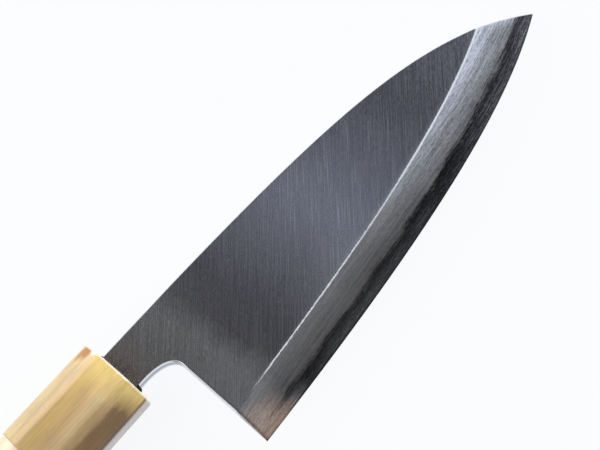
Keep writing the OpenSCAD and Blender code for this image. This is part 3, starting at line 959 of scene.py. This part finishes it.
def brushed_metal(shader, anisotropy):
    """Metal whose gloss is drawn out square to the polishing strokes."""
    tangent = Value(shader.id_data, "Tangent", direction_type="UV_MAP", uv_map="grain")
    dress(shader, {"Tangent": tangent, "Metallic": 1})
    dress(shader, {"Anisotropic": anisotropy, "Anisotropic Rotation": QUARTER_TURN})


def bevel_strokes(along, across):
    """Place along and across the bevel's strokes, which lean off the edge at the heel and turn back
    towards the tip: V becomes V - lean U + turn U^2."""
    leaning = (along * STROKE_TURN - STROKE_LEAN) * along + across
    return Value(along.tree, "CombineXYZ", {"X": along, "Y": leaning})


def ridge_glint_share(place, reach, b):
    """Share of the painted highlight along the ridge: full on it, gone at about reach to either side, wider
    and brighter in the tip half. In the heel half it lies a little onto the flat and is chipped by a short
    noise, and it is gone at the heel wall."""
    forward = place.part("X")
    half = b.reach / 2
    centre = forward.scaled(half / 2, half, 0.25 * MM, 0)
    off = abs(uv_map(place.tree, "place").part("X") - centre)
    chips = streaks(place, along=1.4 * MM, across=0.7 * MM)
    rough = forward.scaled(half, 1.4 * half, 0.5 * MM, 0.1 * MM)
    width = forward.scaled(half, 1.24 * half, 0.9 * reach, 1.25 * reach)
    worn = off.shaken(chips, rough) / width
    return worn.scaled(0.5, 1, 1, 0) * forward.scaled(b.heel_x, b.reach).ramp(RIDGE_FADE)


def heel_reflection_share(along, across, to_ridge, strokes):
    """Share of the painted warm reflection at the heel: full at the heel wall, gone further along, with a
    border that leans towards the tip at the edge, stays off the ridge and is torn by the strokes."""
    leaning = (across * HEEL_REFLECTION_LEAN + along).shaken(strokes, 14 * MM)
    below = to_ridge.shaken(strokes, 5 * MM).scaled(1 * MM, 4 * MM)
    return leaning.scaled(9 * MM, 17 * MM, 1, 0) * below


def flat_finish(f, b):
    """Cladding flat: straight strokes with bright hair scratches, a steel grey that is warmer by the notch
    and bluer further on as a painted reflection tint, brightness along the blade as painted reflections,
    painted highlights in a spot by the heel, close to the ridge and in a soft glow beside it, painted shade
    as a dark line along the heel wall and by the ferrule, a painted warm reflection on the neck, and a
    painted highlight on the ridge."""
    material, tree, shader = surface("brushed_flat")
    grain, place = uv_map(tree, "grain"), knife_place(tree)
    forward, up = place.part("X"), place.part("Y")
    off_ridge = abs(uv_map(tree, "place").part("X"))
    fine = brushwork(grain, long=22 * MM, short=1.8 * MM, share=0.45)
    hairs = streaks(grain, along=15 * MM, across=0.36 * MM, turn=0.03, detail=0, shift=(0.7, 0.5, 0))
    cloud = streaks(place, along=7 * MM, across=5 * MM)
    run = (up * 0.1 + forward).shaken(cloud, 5 * MM).scaled(0, b.reach)

    # Steel grey, warmer by the notch and bluer further on: a painted reflection tint
    base = run.ramp([(0.12, f.flat_warm), (0.17, f.flat_heel), (0.4, f.flat_steel)])
    base = tinted(base, fine.ramp(FLAT_TONE), forward.scaled(28 * MM, 70 * MM, 0.55, 1))
    scored = hairs.scaled(0.62, 0.78, 0, 0.5) * forward.scaled(28 * MM, 75 * MM, 0.1, 1)
    # Painted reflections: brightness along the blade
    base = tinted(blended(scored, base, f.scratch_and_highlight), run.ramp(FLAT_REFLECTION))
    # Painted highlight: a pale spot by the heel
    heel = spot(place, (17 * MM, -32 * MM, 3 * MM), (13 * MM, 15 * MM, 9 * MM), cloud, tear=1)
    by_wall = forward.scaled(b.notch_width, b.notch_width + 0.7 * MM, 0.7, 0)
    from_ferrule = forward.shaken(cloud, 9 * MM)
    glint = ridge_glint_share(place, FLAT_GLINT, b)
    base = layered(base, [
        # Painted highlights by the heel, by the ridge and beside it
        (heel * 0.3, f.scratch_and_highlight),
        (off_ridge.shaken(hairs, 2 * MM).scaled(0, 1.6 * MM, 0.35, 0), f.scratch_and_highlight),
        (run.ramp(FLAT_HIGHLIGHT) * off_ridge.scaled(1 * MM, 12 * MM, 1, 0), f.scratch_and_highlight),
        # Painted shade along the heel wall
        (by_wall * up.scaled(-16 * MM, -13 * MM, 1, 0), f.neck_shade),
        # Painted warm reflection on the neck
        (from_ferrule.scaled(4 * MM, 14 * MM, 0.6, 0), f.neck_reflection_brown),
        # Painted shade by the ferrule
        (from_ferrule.scaled(0.5 * MM, 4 * MM, 0.6, 0), f.neck_shade),
        # Painted highlight on the ridge
        (glint, f.ridge_glint),
    ])
    brushed_metal(shader, anisotropy=0.5)
    dress(shader, {"Base Color": base, "Metallic": glint.scaled(0, 1, 1, 0.1)})
    dress(shader, {"Roughness": fine.scaled(0.3, 0.7, 0.22, 0.32)})
    ground_relief(shader, fine, strength=0.05, distance=0.02 * MM)
    return material


def bevel_finish(name, f, b):
    """Ground bevel over both layers: misty iron that pales towards the ridge, dark steel that is darkest
    under the weld, strokes that tear the line between them, both layers paler and bluer towards the tip and
    unevenly bright along the blade as painted reflections, a paler strip by the ridge and along the spine
    near the tip as a painted highlight, a painted warm reflection at the heel, a painted highlight on the
    ridge and a dark fine bevel that fades at the heel."""
    material, tree, shader = surface(name)
    grain, gaps = uv_map(tree, "grain"), uv_map(tree, "place")
    along, off_edge = grain.part("X"), grain.part("Y")
    from_weld, to_ridge = gaps.part("Y"), gaps.part("X") * -1
    strokes = bevel_strokes(along, off_edge)
    hairs = brushwork(strokes, long=10 * MM, short=1.6 * MM, share=0.5)
    broad = streaks(strokes, along=36 * MM, across=0.9 * MM, shift=(0.2, 0.4, 0))
    tone = blended(0.25, hairs, broad)
    run = along.scaled(0, b.reach)
    # Share of the way to the tip, by which the bevel grows paler and bluer as a painted reflection
    forward = along.scaled(62 * MM, 142 * MM, 0.06, 0.96)
    contrast = forward.scaled(0.06, 0.6, 0.45, 1)

    iron_share = from_weld / (from_weld + to_ridge)
    # Painted highlight: a paler strip by the ridge, along the spine near the tip
    strip = to_ridge.shaken(broad, 3 * MM).scaled(2 * MM, 4 * MM, 0.1, 0)
    mist_and_tip_reflection = forward * iron_share.scaled(0, 1, 0.3, 1) + strip
    iron = blended(mist_and_tip_reflection, f.iron_dark, f.iron_pale)
    iron = tinted(iron, iron_share.shaken(broad, 0.8).ramp(IRON_DEPTH))
    # Painted reflections: brightness along the blade
    iron = tinted(tinted(iron, tone.ramp(IRON_TONE), contrast), run.ramp(IRON_REFLECTION))

    steel_share = off_edge / (off_edge - from_weld)
    # Paler and bluer towards the tip: a painted reflection
    steel = blended(forward, f.steel_heel, f.steel_tip)
    steel = tinted(steel, steel_share.shaken(broad, 0.6).ramp(STEEL_DEPTH))
    # Painted reflections: brightness along the blade
    steel = tinted(tinted(steel, tone.ramp(STEEL_TONE), contrast), run.ramp(STEEL_REFLECTION))

    torn = from_weld.shaken(hairs, 3 * MM).shaken(broad, 1.5 * MM)
    above = torn.scaled(-0.7 * MM, 0.9 * MM)
    # Painted warm reflection at the heel
    warm = blended(off_edge.scaled(1 * MM, 8 * MM), f.heel_reflection_brown, f.heel_reflection_rose)
    line = off_edge.scaled(0.4 * MM, 0.75 * MM, 0.85, 0) * along.scaled(8 * MM, 20 * MM, 0.3, 1)
    glint = ridge_glint_share(knife_place(tree), BEVEL_GLINT, b)
    base = layered(steel, [
        (above, iron),
        (heel_reflection_share(along, off_edge, to_ridge, broad), tinted(warm, tone.ramp(HEEL_REFLECTION_TONE))),
        (line, f.edge_dark),
        (along.scaled(0, 0.9 * MM, 0.5, 0), f.edge_dark),
        # Painted highlight on the ridge
        (glint, f.ridge_glint),
    ])
    matte = (mist_and_tip_reflection * above * 0.65).step("MAXIMUM", glint * 0.9)
    brushed_metal(shader, anisotropy=0.5)
    dress(shader, {"Base Color": base, "Metallic": matte * -1 + 1})
    dress(shader, {"Roughness": above.scaled(0, 1, 0.3, 0.4)})
    ground_relief(shader, tone, strength=0.1, distance=0.04 * MM)
    return material


def polished_finish(f, b):
    """Polished steel of the notch, the spine and the back: bright, with faint strokes, with a grey
    line half-way down the notch's wall, a darker brown spot in its corner, and a dark heel wall under the
    ridge."""
    material, tree, shader = surface("polished_steel")
    place = knife_place(tree)
    forward, up, out = (place.part(axis) for axis in "XYZ")
    fine = streaks(uv_map(tree, "grain"), along=14 * MM, across=0.5 * MM, detail=3)
    half = b.neck_thickness / 2
    line = out.scaled(-half, half).ramp([(0.12, 0), (0.3, 1), (0.56, 1), (0.74, 0)])
    on_wall = forward.scaled(b.notch_width + 0.4 * MM, b.notch_width + 1 * MM, 1, 0)
    corner = (b.notch_width - 0.4 * MM, -11.6 * MM, 2.4 * MM)
    base = layered(tinted(f.polished, fine.ramp([(0.3, 0.9), (0.7, 1.05)])), [
        (line * up.scaled(-14 * MM, -11 * MM, 0.15, 1), f.wall_line),
        (on_wall * up.scaled(-37 * MM, -34 * MM, 0.9, 0), f.wall_dark),
        (spot(place, corner, (1.8 * MM, 2.2 * MM, 2.4 * MM), fine, tear=0.4), f.wall_corner_dark),
    ])
    brushed_metal(shader, anisotropy=0.3)
    dress(shader, {"Base Color": base, "Roughness": fine.scaled(0.3, 0.7, 0.16, 0.26)})
    return material


def horn_finish(f):
    """Horn: lengthwise streaks and clouds whose colour changes round the ferrule, from brown below over
    straw and gold to cream above, the brown partly painted shade and the cream partly painted light, with a
    lilac streak along the upper edge as a painted highlight, browner towards the rear, with a yellow front
    that is shorter at the bottom, an orange patch, a grey underside as a painted reflection behind a dark
    line of painted shade, and a pale front rim as a painted highlight that is wider at one corner, all
    under a thin clear polish."""
    material, tree, shader = surface("polished_horn")
    place = knife_place(tree)
    forward, up, out = (place.part(axis) for axis in "XYZ")
    wide = streaks(place, along=70 * MM, across=3 * MM, detail=3)
    fine = streaks(place, along=16 * MM, across=0.55 * MM, shift=(0.1, 0.3, 0))
    cloud = streaks(place, along=10 * MM, across=3 * MM, detail=3, shift=(0.4, 0, 0.2))
    height = up.shaken(wide, 4 * MM).shaken(cloud, 1.8 * MM).scaled(-12 * MM, 13 * MM)
    # Colour by height round the ferrule: partly the horn's own, partly painted shade below and painted
    # light above
    base = height.ramp([
        (0.155, f.horn_brown), (0.215, f.horn_dun), (0.33, f.horn_straw), (0.48, f.horn_tan),
        (0.62, f.horn_gold), (0.72, f.horn_tan), (0.82, f.horn_dun), (0.95, f.horn_cream),
    ])
    paling = forward.shaken(cloud, 8 * MM).scaled(-16 * MM, -6 * MM, 0.1, 0.8)
    steeper = (forward * 0.5 + 1.75 * MM) * up.scaled(-8 * MM, -5 * MM, 1, 0)
    front = (steeper + forward.shaken(cloud, 6 * MM)).scaled(-11 * MM, -0.5 * MM)
    patch = spot(place, (-2 * MM, 10 * MM, 7 * MM), (4 * MM, 2.4 * MM, 3 * MM), cloud, tear=1.6)
    low = up.scaled(-10.5 * MM, -9.5 * MM, 1, 0)
    base = layered(base, [
        (forward.scaled(-26 * MM, -9 * MM, 0.36, 0) * up.scaled(5 * MM, 8 * MM, 1, 0), f.horn_brown),
        # Painted lilac highlight along the upper edge
        (height.ramp(LILAC_HIGHLIGHT) * paling, f.horn_lilac_highlight),
        (front * up.scaled(3.5 * MM, 7 * MM, 1, 0.3), f.horn_yellow),
        (patch, f.horn_orange),
        # Painted reflection on the underside
        (out.scaled(3 * MM, UNDERSIDE_SHADE_LINE, 1, 0) * low, f.horn_underside_reflection),
        # Painted shade on the edge above the underside
        (abs(out - UNDERSIDE_SHADE_LINE).scaled(0.2 * MM, 0.8 * MM, 0.75, 0) * low, f.horn_edge_shade),
    ])
    base = tinted(base, fine.ramp([(0.35, 0.96), (0.5, 1), (0.65, 1.05)]))
    base = tinted(base, cloud.ramp([(0.35, 0.92), (0.5, 1), (0.65, 1.06)]))
    # Painted highlight on the front rim, wider at one corner
    rim = up.scaled(0, 10 * MM).ramp(RIM_CORNER_HIGHLIGHT) * MM + forward
    base = blended(rim.scaled(-0.8 * MM, -0.3 * MM, 0, 0.85), base, f.horn_rim_highlight)
    dress(shader, {"Base Color": base, "Roughness": fine.scaled(0.3, 0.7, 0.24, 0.36)})
    dress(shader, {"Coat Weight": 0.25, "Coat Roughness": 0.12})
    ground_relief(shader, fine, strength=0.05, distance=0.05 * MM)
    return material


def wood_finish(f):
    """Pale open-grained wood: lengthwise grain, growth rings that show on the butt, and short dark
    pores."""
    material, tree, shader = surface("plain_wood")
    place = knife_place(tree)
    wide = streaks(place, along=80 * MM, across=2.5 * MM, detail=4)
    pores = streaks(place, along=7 * MM, across=0.22 * MM, shift=(0.2, 0.1, 0.4))
    waves = {"Vector": place, "Scale": 1 / (9 * MM), "Distortion": 2.2, "Detail": 2, "Detail Scale": 0.4}
    rings = Value(tree, "TexWave", waves, "Fac", wave_type="RINGS", rings_direction="X")
    base = blended(wide.ramp([(0.35, 0), (0.7, 0.8)]), f.wood_pale, f.wood_dark)
    base = layered(base, [
        (rings.scaled(0.6, 1, 0, 0.35), f.wood_dark),
        (pores.ramp([(0.62, 0), (0.72, 0.5)]), f.wood_pore),
    ])
    dress(shader, {"Base Color": base, "Roughness": pores.scaled(0.4, 0.7, 0.5, 0.65)})
    ground_relief(shader, pores, strength=0.2, distance=0.1 * MM)
    return material


def resin_finish(f):
    """Dark bedding resin, dull and slightly uneven."""
    material, tree, shader = surface("bedding_resin")
    cloud = streaks(knife_place(tree), along=1.2 * MM, across=0.8 * MM, detail=3)
    base = tinted(f.resin, cloud.ramp([(0.3, 0.7), (0.7, 1.3)]))
    dress(shader, {"Base Color": base, "Roughness": 0.8, "Specular IOR Level": 0.1})
    ground_relief(shader, cloud, strength=0.2, distance=0.1 * MM)
    return material


def floor_finish(f):
    """White studio floor: seen directly, in a reflection or through glass it is mostly an even white
    with a part of its own shading, so that the shadow stays faint; for all other light it is plain."""
    material, tree, shader = surface("studio_floor")
    dress(shader, {"Base Color": f.floor, "Roughness": 0.9})
    seen = Value(tree, "LightPath", output="Is Camera Ray")
    for ray in ("Is Glossy Ray", "Is Transmission Ray"):
        seen = seen.step("MAXIMUM", Value(tree, "LightPath", output=ray))
    white = Value(tree, "Emission", {"Color": f.backdrop, "Strength": 1})
    mixed = node(tree, "MixShader", {0: seen * EVEN_WHITE, 2: white})
    output = next(made for made in tree.nodes if made.type == "OUTPUT_MATERIAL")
    tree.links.new(shader.outputs[0], mixed.inputs[1])
    tree.links.new(mixed.outputs[0], output.inputs["Surface"])
    return material


def studio_world():
    """White room round the horizon with a dim ceiling, and dimmer on the photographer's side."""
    world = bpy.data.worlds.new("studio")
    world.use_nodes = True
    tree = world.node_tree
    tree.nodes.clear()
    direction = Value(tree, "TexCoord", output="Generated")
    side = direction.part("Y").scaled(-0.7, 0.1, 0.4, 1)
    room = tinted(direction.part("Z").ramp(ROOM_LIGHT), side)
    node(tree, "OutputWorld", {"Surface": Value(tree, "Background", {"Color": room, "Strength": 1})})
    return world


class DEBA_OT_cladding(Operator):
    """Builds the iron cladding: flat, upper bevel, spine, notch, neck and tang"""

    bl_idname = "deba.cladding"
    bl_label = "Blade cladding"

    def execute(self, context):
        b, f = context.scene.deba_blade, context.scene.deba_finishes
        neck, net, heel = blade_forms(b)
        materials = [flat_finish(f, b), bevel_finish("iron_bevel", f, b), polished_finish(f, b)]
        flat, bevel, polished = range(len(materials))
        weld, ridge, top = net.weld_column, net.ridge_column, net.wall_column
        all_of = slice(None)
        above, point = slice(0, net.ridge_row + 1), slice(net.ridge_row, net.weld_row + 1)
        iron, to_point = slice(weld, ridge + 1), slice(0, net.weld_row + 1)

        def on_flat(form, rows, columns, height):
            return face(b, form, rows, columns, height, b.flat_strokes, flat)

        def edge_of(form, at, low, finish):
            return upright(b, form.plan[at], form.top[at], low[at], finish)

        sheets = [
            ground(b, net, to_point, iron, net.along[to_point, None], net.across[to_point, iron], bevel),
            ground(b, heel, all_of, iron, heel.along[:, iron], net.across[0, iron], bevel),
            on_flat(net, above, slice(ridge, None), net.top),
            on_flat(heel, all_of, slice(ridge, top + 1), heel.top),
            on_flat(neck, all_of, all_of, neck.top),
            on_flat(net, above, slice(weld, None), net.weld),
            on_flat(net, point, iron, net.weld),
            on_flat(heel, all_of, slice(weld, top + 1), heel.weld),
            on_flat(neck, all_of, all_of, neck.low),
            edge_of(net, (above, -1), net.weld, polished),
            edge_of(net, (point, ridge), net.weld, polished),
            edge_of(heel, (0, slice(weld, None)), heel.weld, polished),
            edge_of(neck, (all_of, 0), neck.low, polished),
            edge_of(neck, (all_of, -1), neck.low, polished),
            edge_of(neck, (0, all_of), neck.low, flat),
        ]
        settled(stitched("ground_cladding", sheets, materials), "blade_cladding")
        return {"FINISHED"}


class DEBA_OT_edge_steel(Operator):
    """Builds the edge steel: band on the bevel, hollow back and its rims"""

    bl_idname = "deba.edge_steel"
    bl_label = "Edge steel"

    def execute(self, context):
        b, f = context.scene.deba_blade, context.scene.deba_finishes
        neck, net, heel = blade_forms(b)
        materials = [bevel_finish("steel_bevel", f, b), polished_finish(f, b)]
        band, polished = range(len(materials))
        weld, ridge, top = net.weld_column, net.ridge_column, net.wall_column
        all_of = slice(None)
        above, point = slice(0, net.ridge_row + 1), slice(net.ridge_row, net.weld_row + 1)
        beyond, root = slice(net.ridge_row, None), slice(neck.steel_row, None)
        steel = slice(0, weld + 1)
        neck_floor = np.zeros_like(neck.low)
        heel_high = np.where(np.arange(top + 1) < weld, heel.top, heel.weld)

        def on_back(form, rows, columns, height):
            return face(b, form, rows, columns, height, 0.0, polished)

        def edge_of(form, at, high, low):
            return upright(b, form.plan[at], high[at], low[at], polished)

        sheets = [
            ground(b, net, all_of, steel, net.along[:, None], net.across[:, steel], band),
            ground(b, heel, all_of, steel, heel.along[:, steel], net.across[0, steel], band),
            on_back(net, above, slice(weld, None), net.weld),
            on_back(net, point, slice(weld, ridge + 1), net.weld),
            on_back(heel, all_of, slice(weld, top + 1), heel.weld),
            on_back(neck, root, all_of, neck.low),
            on_back(net, above, all_of, net.back),
            on_back(net, beyond, slice(0, ridge + 1), net.back),
            on_back(heel, all_of, all_of, heel.back),
            on_back(neck, root, all_of, neck_floor),
            edge_of(net, (above, -1), net.weld, net.back),
            edge_of(net, (beyond, ridge), net.weld, net.back),
            edge_of(heel, (0, all_of), heel_high, heel.back),
            edge_of(neck, (root, 0), neck.low, neck_floor),
            edge_of(neck, (root, -1), neck.low, neck_floor),
        ]
        settled(stitched("edge_layer", sheets, materials), "edge_steel")
        return {"FINISHED"}


class DEBA_OT_ferrule(Operator):
    """Builds the horn ferrule: octagon with a round rim, a slot and a bore"""

    bl_idname = "deba.ferrule"
    bl_label = "Horn ferrule"

    def execute(self, context):
        b, h, f = context.scene.deba_blade, context.scene.deba_handle, context.scene.deba_finishes
        turn = np.linspace(0, np.pi / 2, ROUND_STEPS + 1)
        rear, wall_x = -h.ferrule_length, -h.front_wall
        outside_x = np.concatenate([[rear, rear + h.seam], h.rim_round * (np.sin(turn) - 1)])
        inset = np.concatenate([[h.seam, 0], h.rim_round * (1 - np.cos(turn))])
        outside = grip_rings(h, outside_x, inset)
        bore = h.tenon / 2 + h.tenon_fit
        inside = np.stack([
            slot_ring(0.0, *tang_slot(b, h, 0.0)),
            slot_ring(wall_x, *tang_slot(b, h, wall_x)),
            round_ring(wall_x, bore),
            round_ring(rear, bore),
        ])
        rings = np.concatenate([outside, inside, outside[:1]])
        piece = stitched("ferrule_horn", [ring_sheet(rings, 0)], [horn_finish(f)])
        settled(piece, "horn_ferrule")
        return {"FINISHED"}


class DEBA_OT_handle(Operator):
    """Builds the wooden handle: octagon with a rounded butt, a tenon and the tang's slot"""

    bl_idname = "deba.handle"
    bl_label = "Wooden handle"

    def execute(self, context):
        b, h, f = context.scene.deba_blade, context.scene.deba_handle, context.scene.deba_finishes
        turn = np.linspace(0, np.pi / 2, ROUND_STEPS + 1)
        butt, front = -h.length, -h.ferrule_length
        x = np.concatenate([butt + h.butt_round * (1 - np.cos(turn)), [front - h.seam, front]])
        inset = np.concatenate([h.butt_round * (1 - np.sin(turn)), [0, h.seam]])
        tenon_end = -h.front_wall - h.tenon_gap
        slot_end = -b.tang_length - h.bed_gap
        middle = b.spine_rise - b.neck_height / 2
        rings = np.concatenate([
            pole_ring(butt, 0)[None],
            grip_rings(h, x, inset),
            [round_ring(station, h.tenon / 2) for station in (front, tenon_end)],
            [slot_ring(s, *tang_slot(b, h, s)) for s in (tenon_end, -b.shoulder_length, slot_end)],
            pole_ring(slot_end, middle)[None],
        ])
        piece = stitched("handle_wood", [ring_sheet(rings, 0)], [wood_finish(f)])
        settled(piece, "wood_handle")
        return {"FINISHED"}


class DEBA_OT_bedding(Operator):
    """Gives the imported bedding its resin"""

    bl_idname = "deba.bedding"
    bl_label = "Tang bedding"

    def execute(self, context):
        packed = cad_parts["tang_bedding"]
        packed.data.materials.clear()
        packed.data.materials.append(resin_finish(context.scene.deba_finishes))
        return {"FINISHED"}


class DEBA_OT_stage(Operator):
    """Sets the floor, the light and the camera"""

    bl_idname = "deba.stage"
    bl_label = "Studio"

    def execute(self, context):
        s, f = context.scene.deba_studio, context.scene.deba_finishes
        mesh = bpy.data.meshes.new("studio_floor")
        corners = s.floor_span / 2 * np.array([(-1, -1, 0), (1, -1, 0), (1, 1, 0), (-1, 1, 0)])
        mesh.from_pydata(corners.tolist(), [], [(0, 1, 2, 3)])
        mesh.materials.append(floor_finish(f))
        floor = linked("studio_floor", mesh)
        context.scene.world = studio_world()
        for name, place, spread, power, tint in LAMPS:
            lamp = bpy.data.lights.new(name, "AREA")
            lamp.shape = "RECTANGLE"
            lamp.size, lamp.size_y = spread
            lamp.energy = power
            lamp.color = tint
            aimed(linked(name, lamp), Vector(place), -Vector(place))
        lens = bpy.data.cameras.new("photo_camera")
        lens.lens, lens.sensor_width, lens.sensor_fit = s.focal_length, SENSOR_WIDTH, "HORIZONTAL"
        lens.clip_start, lens.clip_end = NEAREST, FARTHEST
        back = Vector((
            math.sin(s.azimuth) * math.cos(s.elevation),
            -math.cos(s.azimuth) * math.cos(s.elevation),
            math.sin(s.elevation),
        ))
        camera = linked("photo_camera", lens)
        aimed(camera, KNIFE_ORIGIN + Vector(s.target) + back * s.distance, -back)
        context.scene.camera = camera
        context.scene.view_settings.view_transform = "Standard"
        return {"FINISHED"}


class DEBA_PT_knife(Panel):
    """Lists the knife's steps in order"""

    bl_idname = "DEBA_PT_knife"
    bl_label = "Deba knife"
    bl_space_type = "VIEW_3D"
    bl_region_type = "UI"
    bl_category = "Deba"

    def draw(self, context):
        for step in STEPS:
            self.layout.operator(step.bl_idname)


GROUPS = {
    "deba_blade": BladeSizes,
    "deba_handle": HandleSizes,
    "deba_finishes": Finishes,
    "deba_studio": Studio,
}
STEPS = [
    DEBA_OT_cladding, DEBA_OT_edge_steel, DEBA_OT_ferrule, DEBA_OT_handle, DEBA_OT_bedding, DEBA_OT_stage,
]


def register():
    """Registers the groups, the steps and the panel."""
    for name, group in GROUPS.items():
        bpy.utils.register_class(group)
        setattr(bpy.types.Scene, name, PointerProperty(type=group))
    for step in STEPS:
        bpy.utils.register_class(step)
    bpy.utils.register_class(DEBA_PT_knife)


def unregister():
    """Takes everything back in the other order."""
    bpy.utils.unregister_class(DEBA_PT_knife)
    for step in reversed(STEPS):
        bpy.utils.unregister_class(step)
    for name, group in reversed(GROUPS.items()):
        delattr(bpy.types.Scene, name)
        bpy.utils.unregister_class(group)


def main():
    """Builds the knife and its studio."""
    register()
    bpy.ops.deba.cladding()
    bpy.ops.deba.edge_steel()
    bpy.ops.deba.ferrule()
    bpy.ops.deba.handle()
    bpy.ops.deba.bedding()
    bpy.ops.deba.stage()


if __name__ == "__main__":
    main()
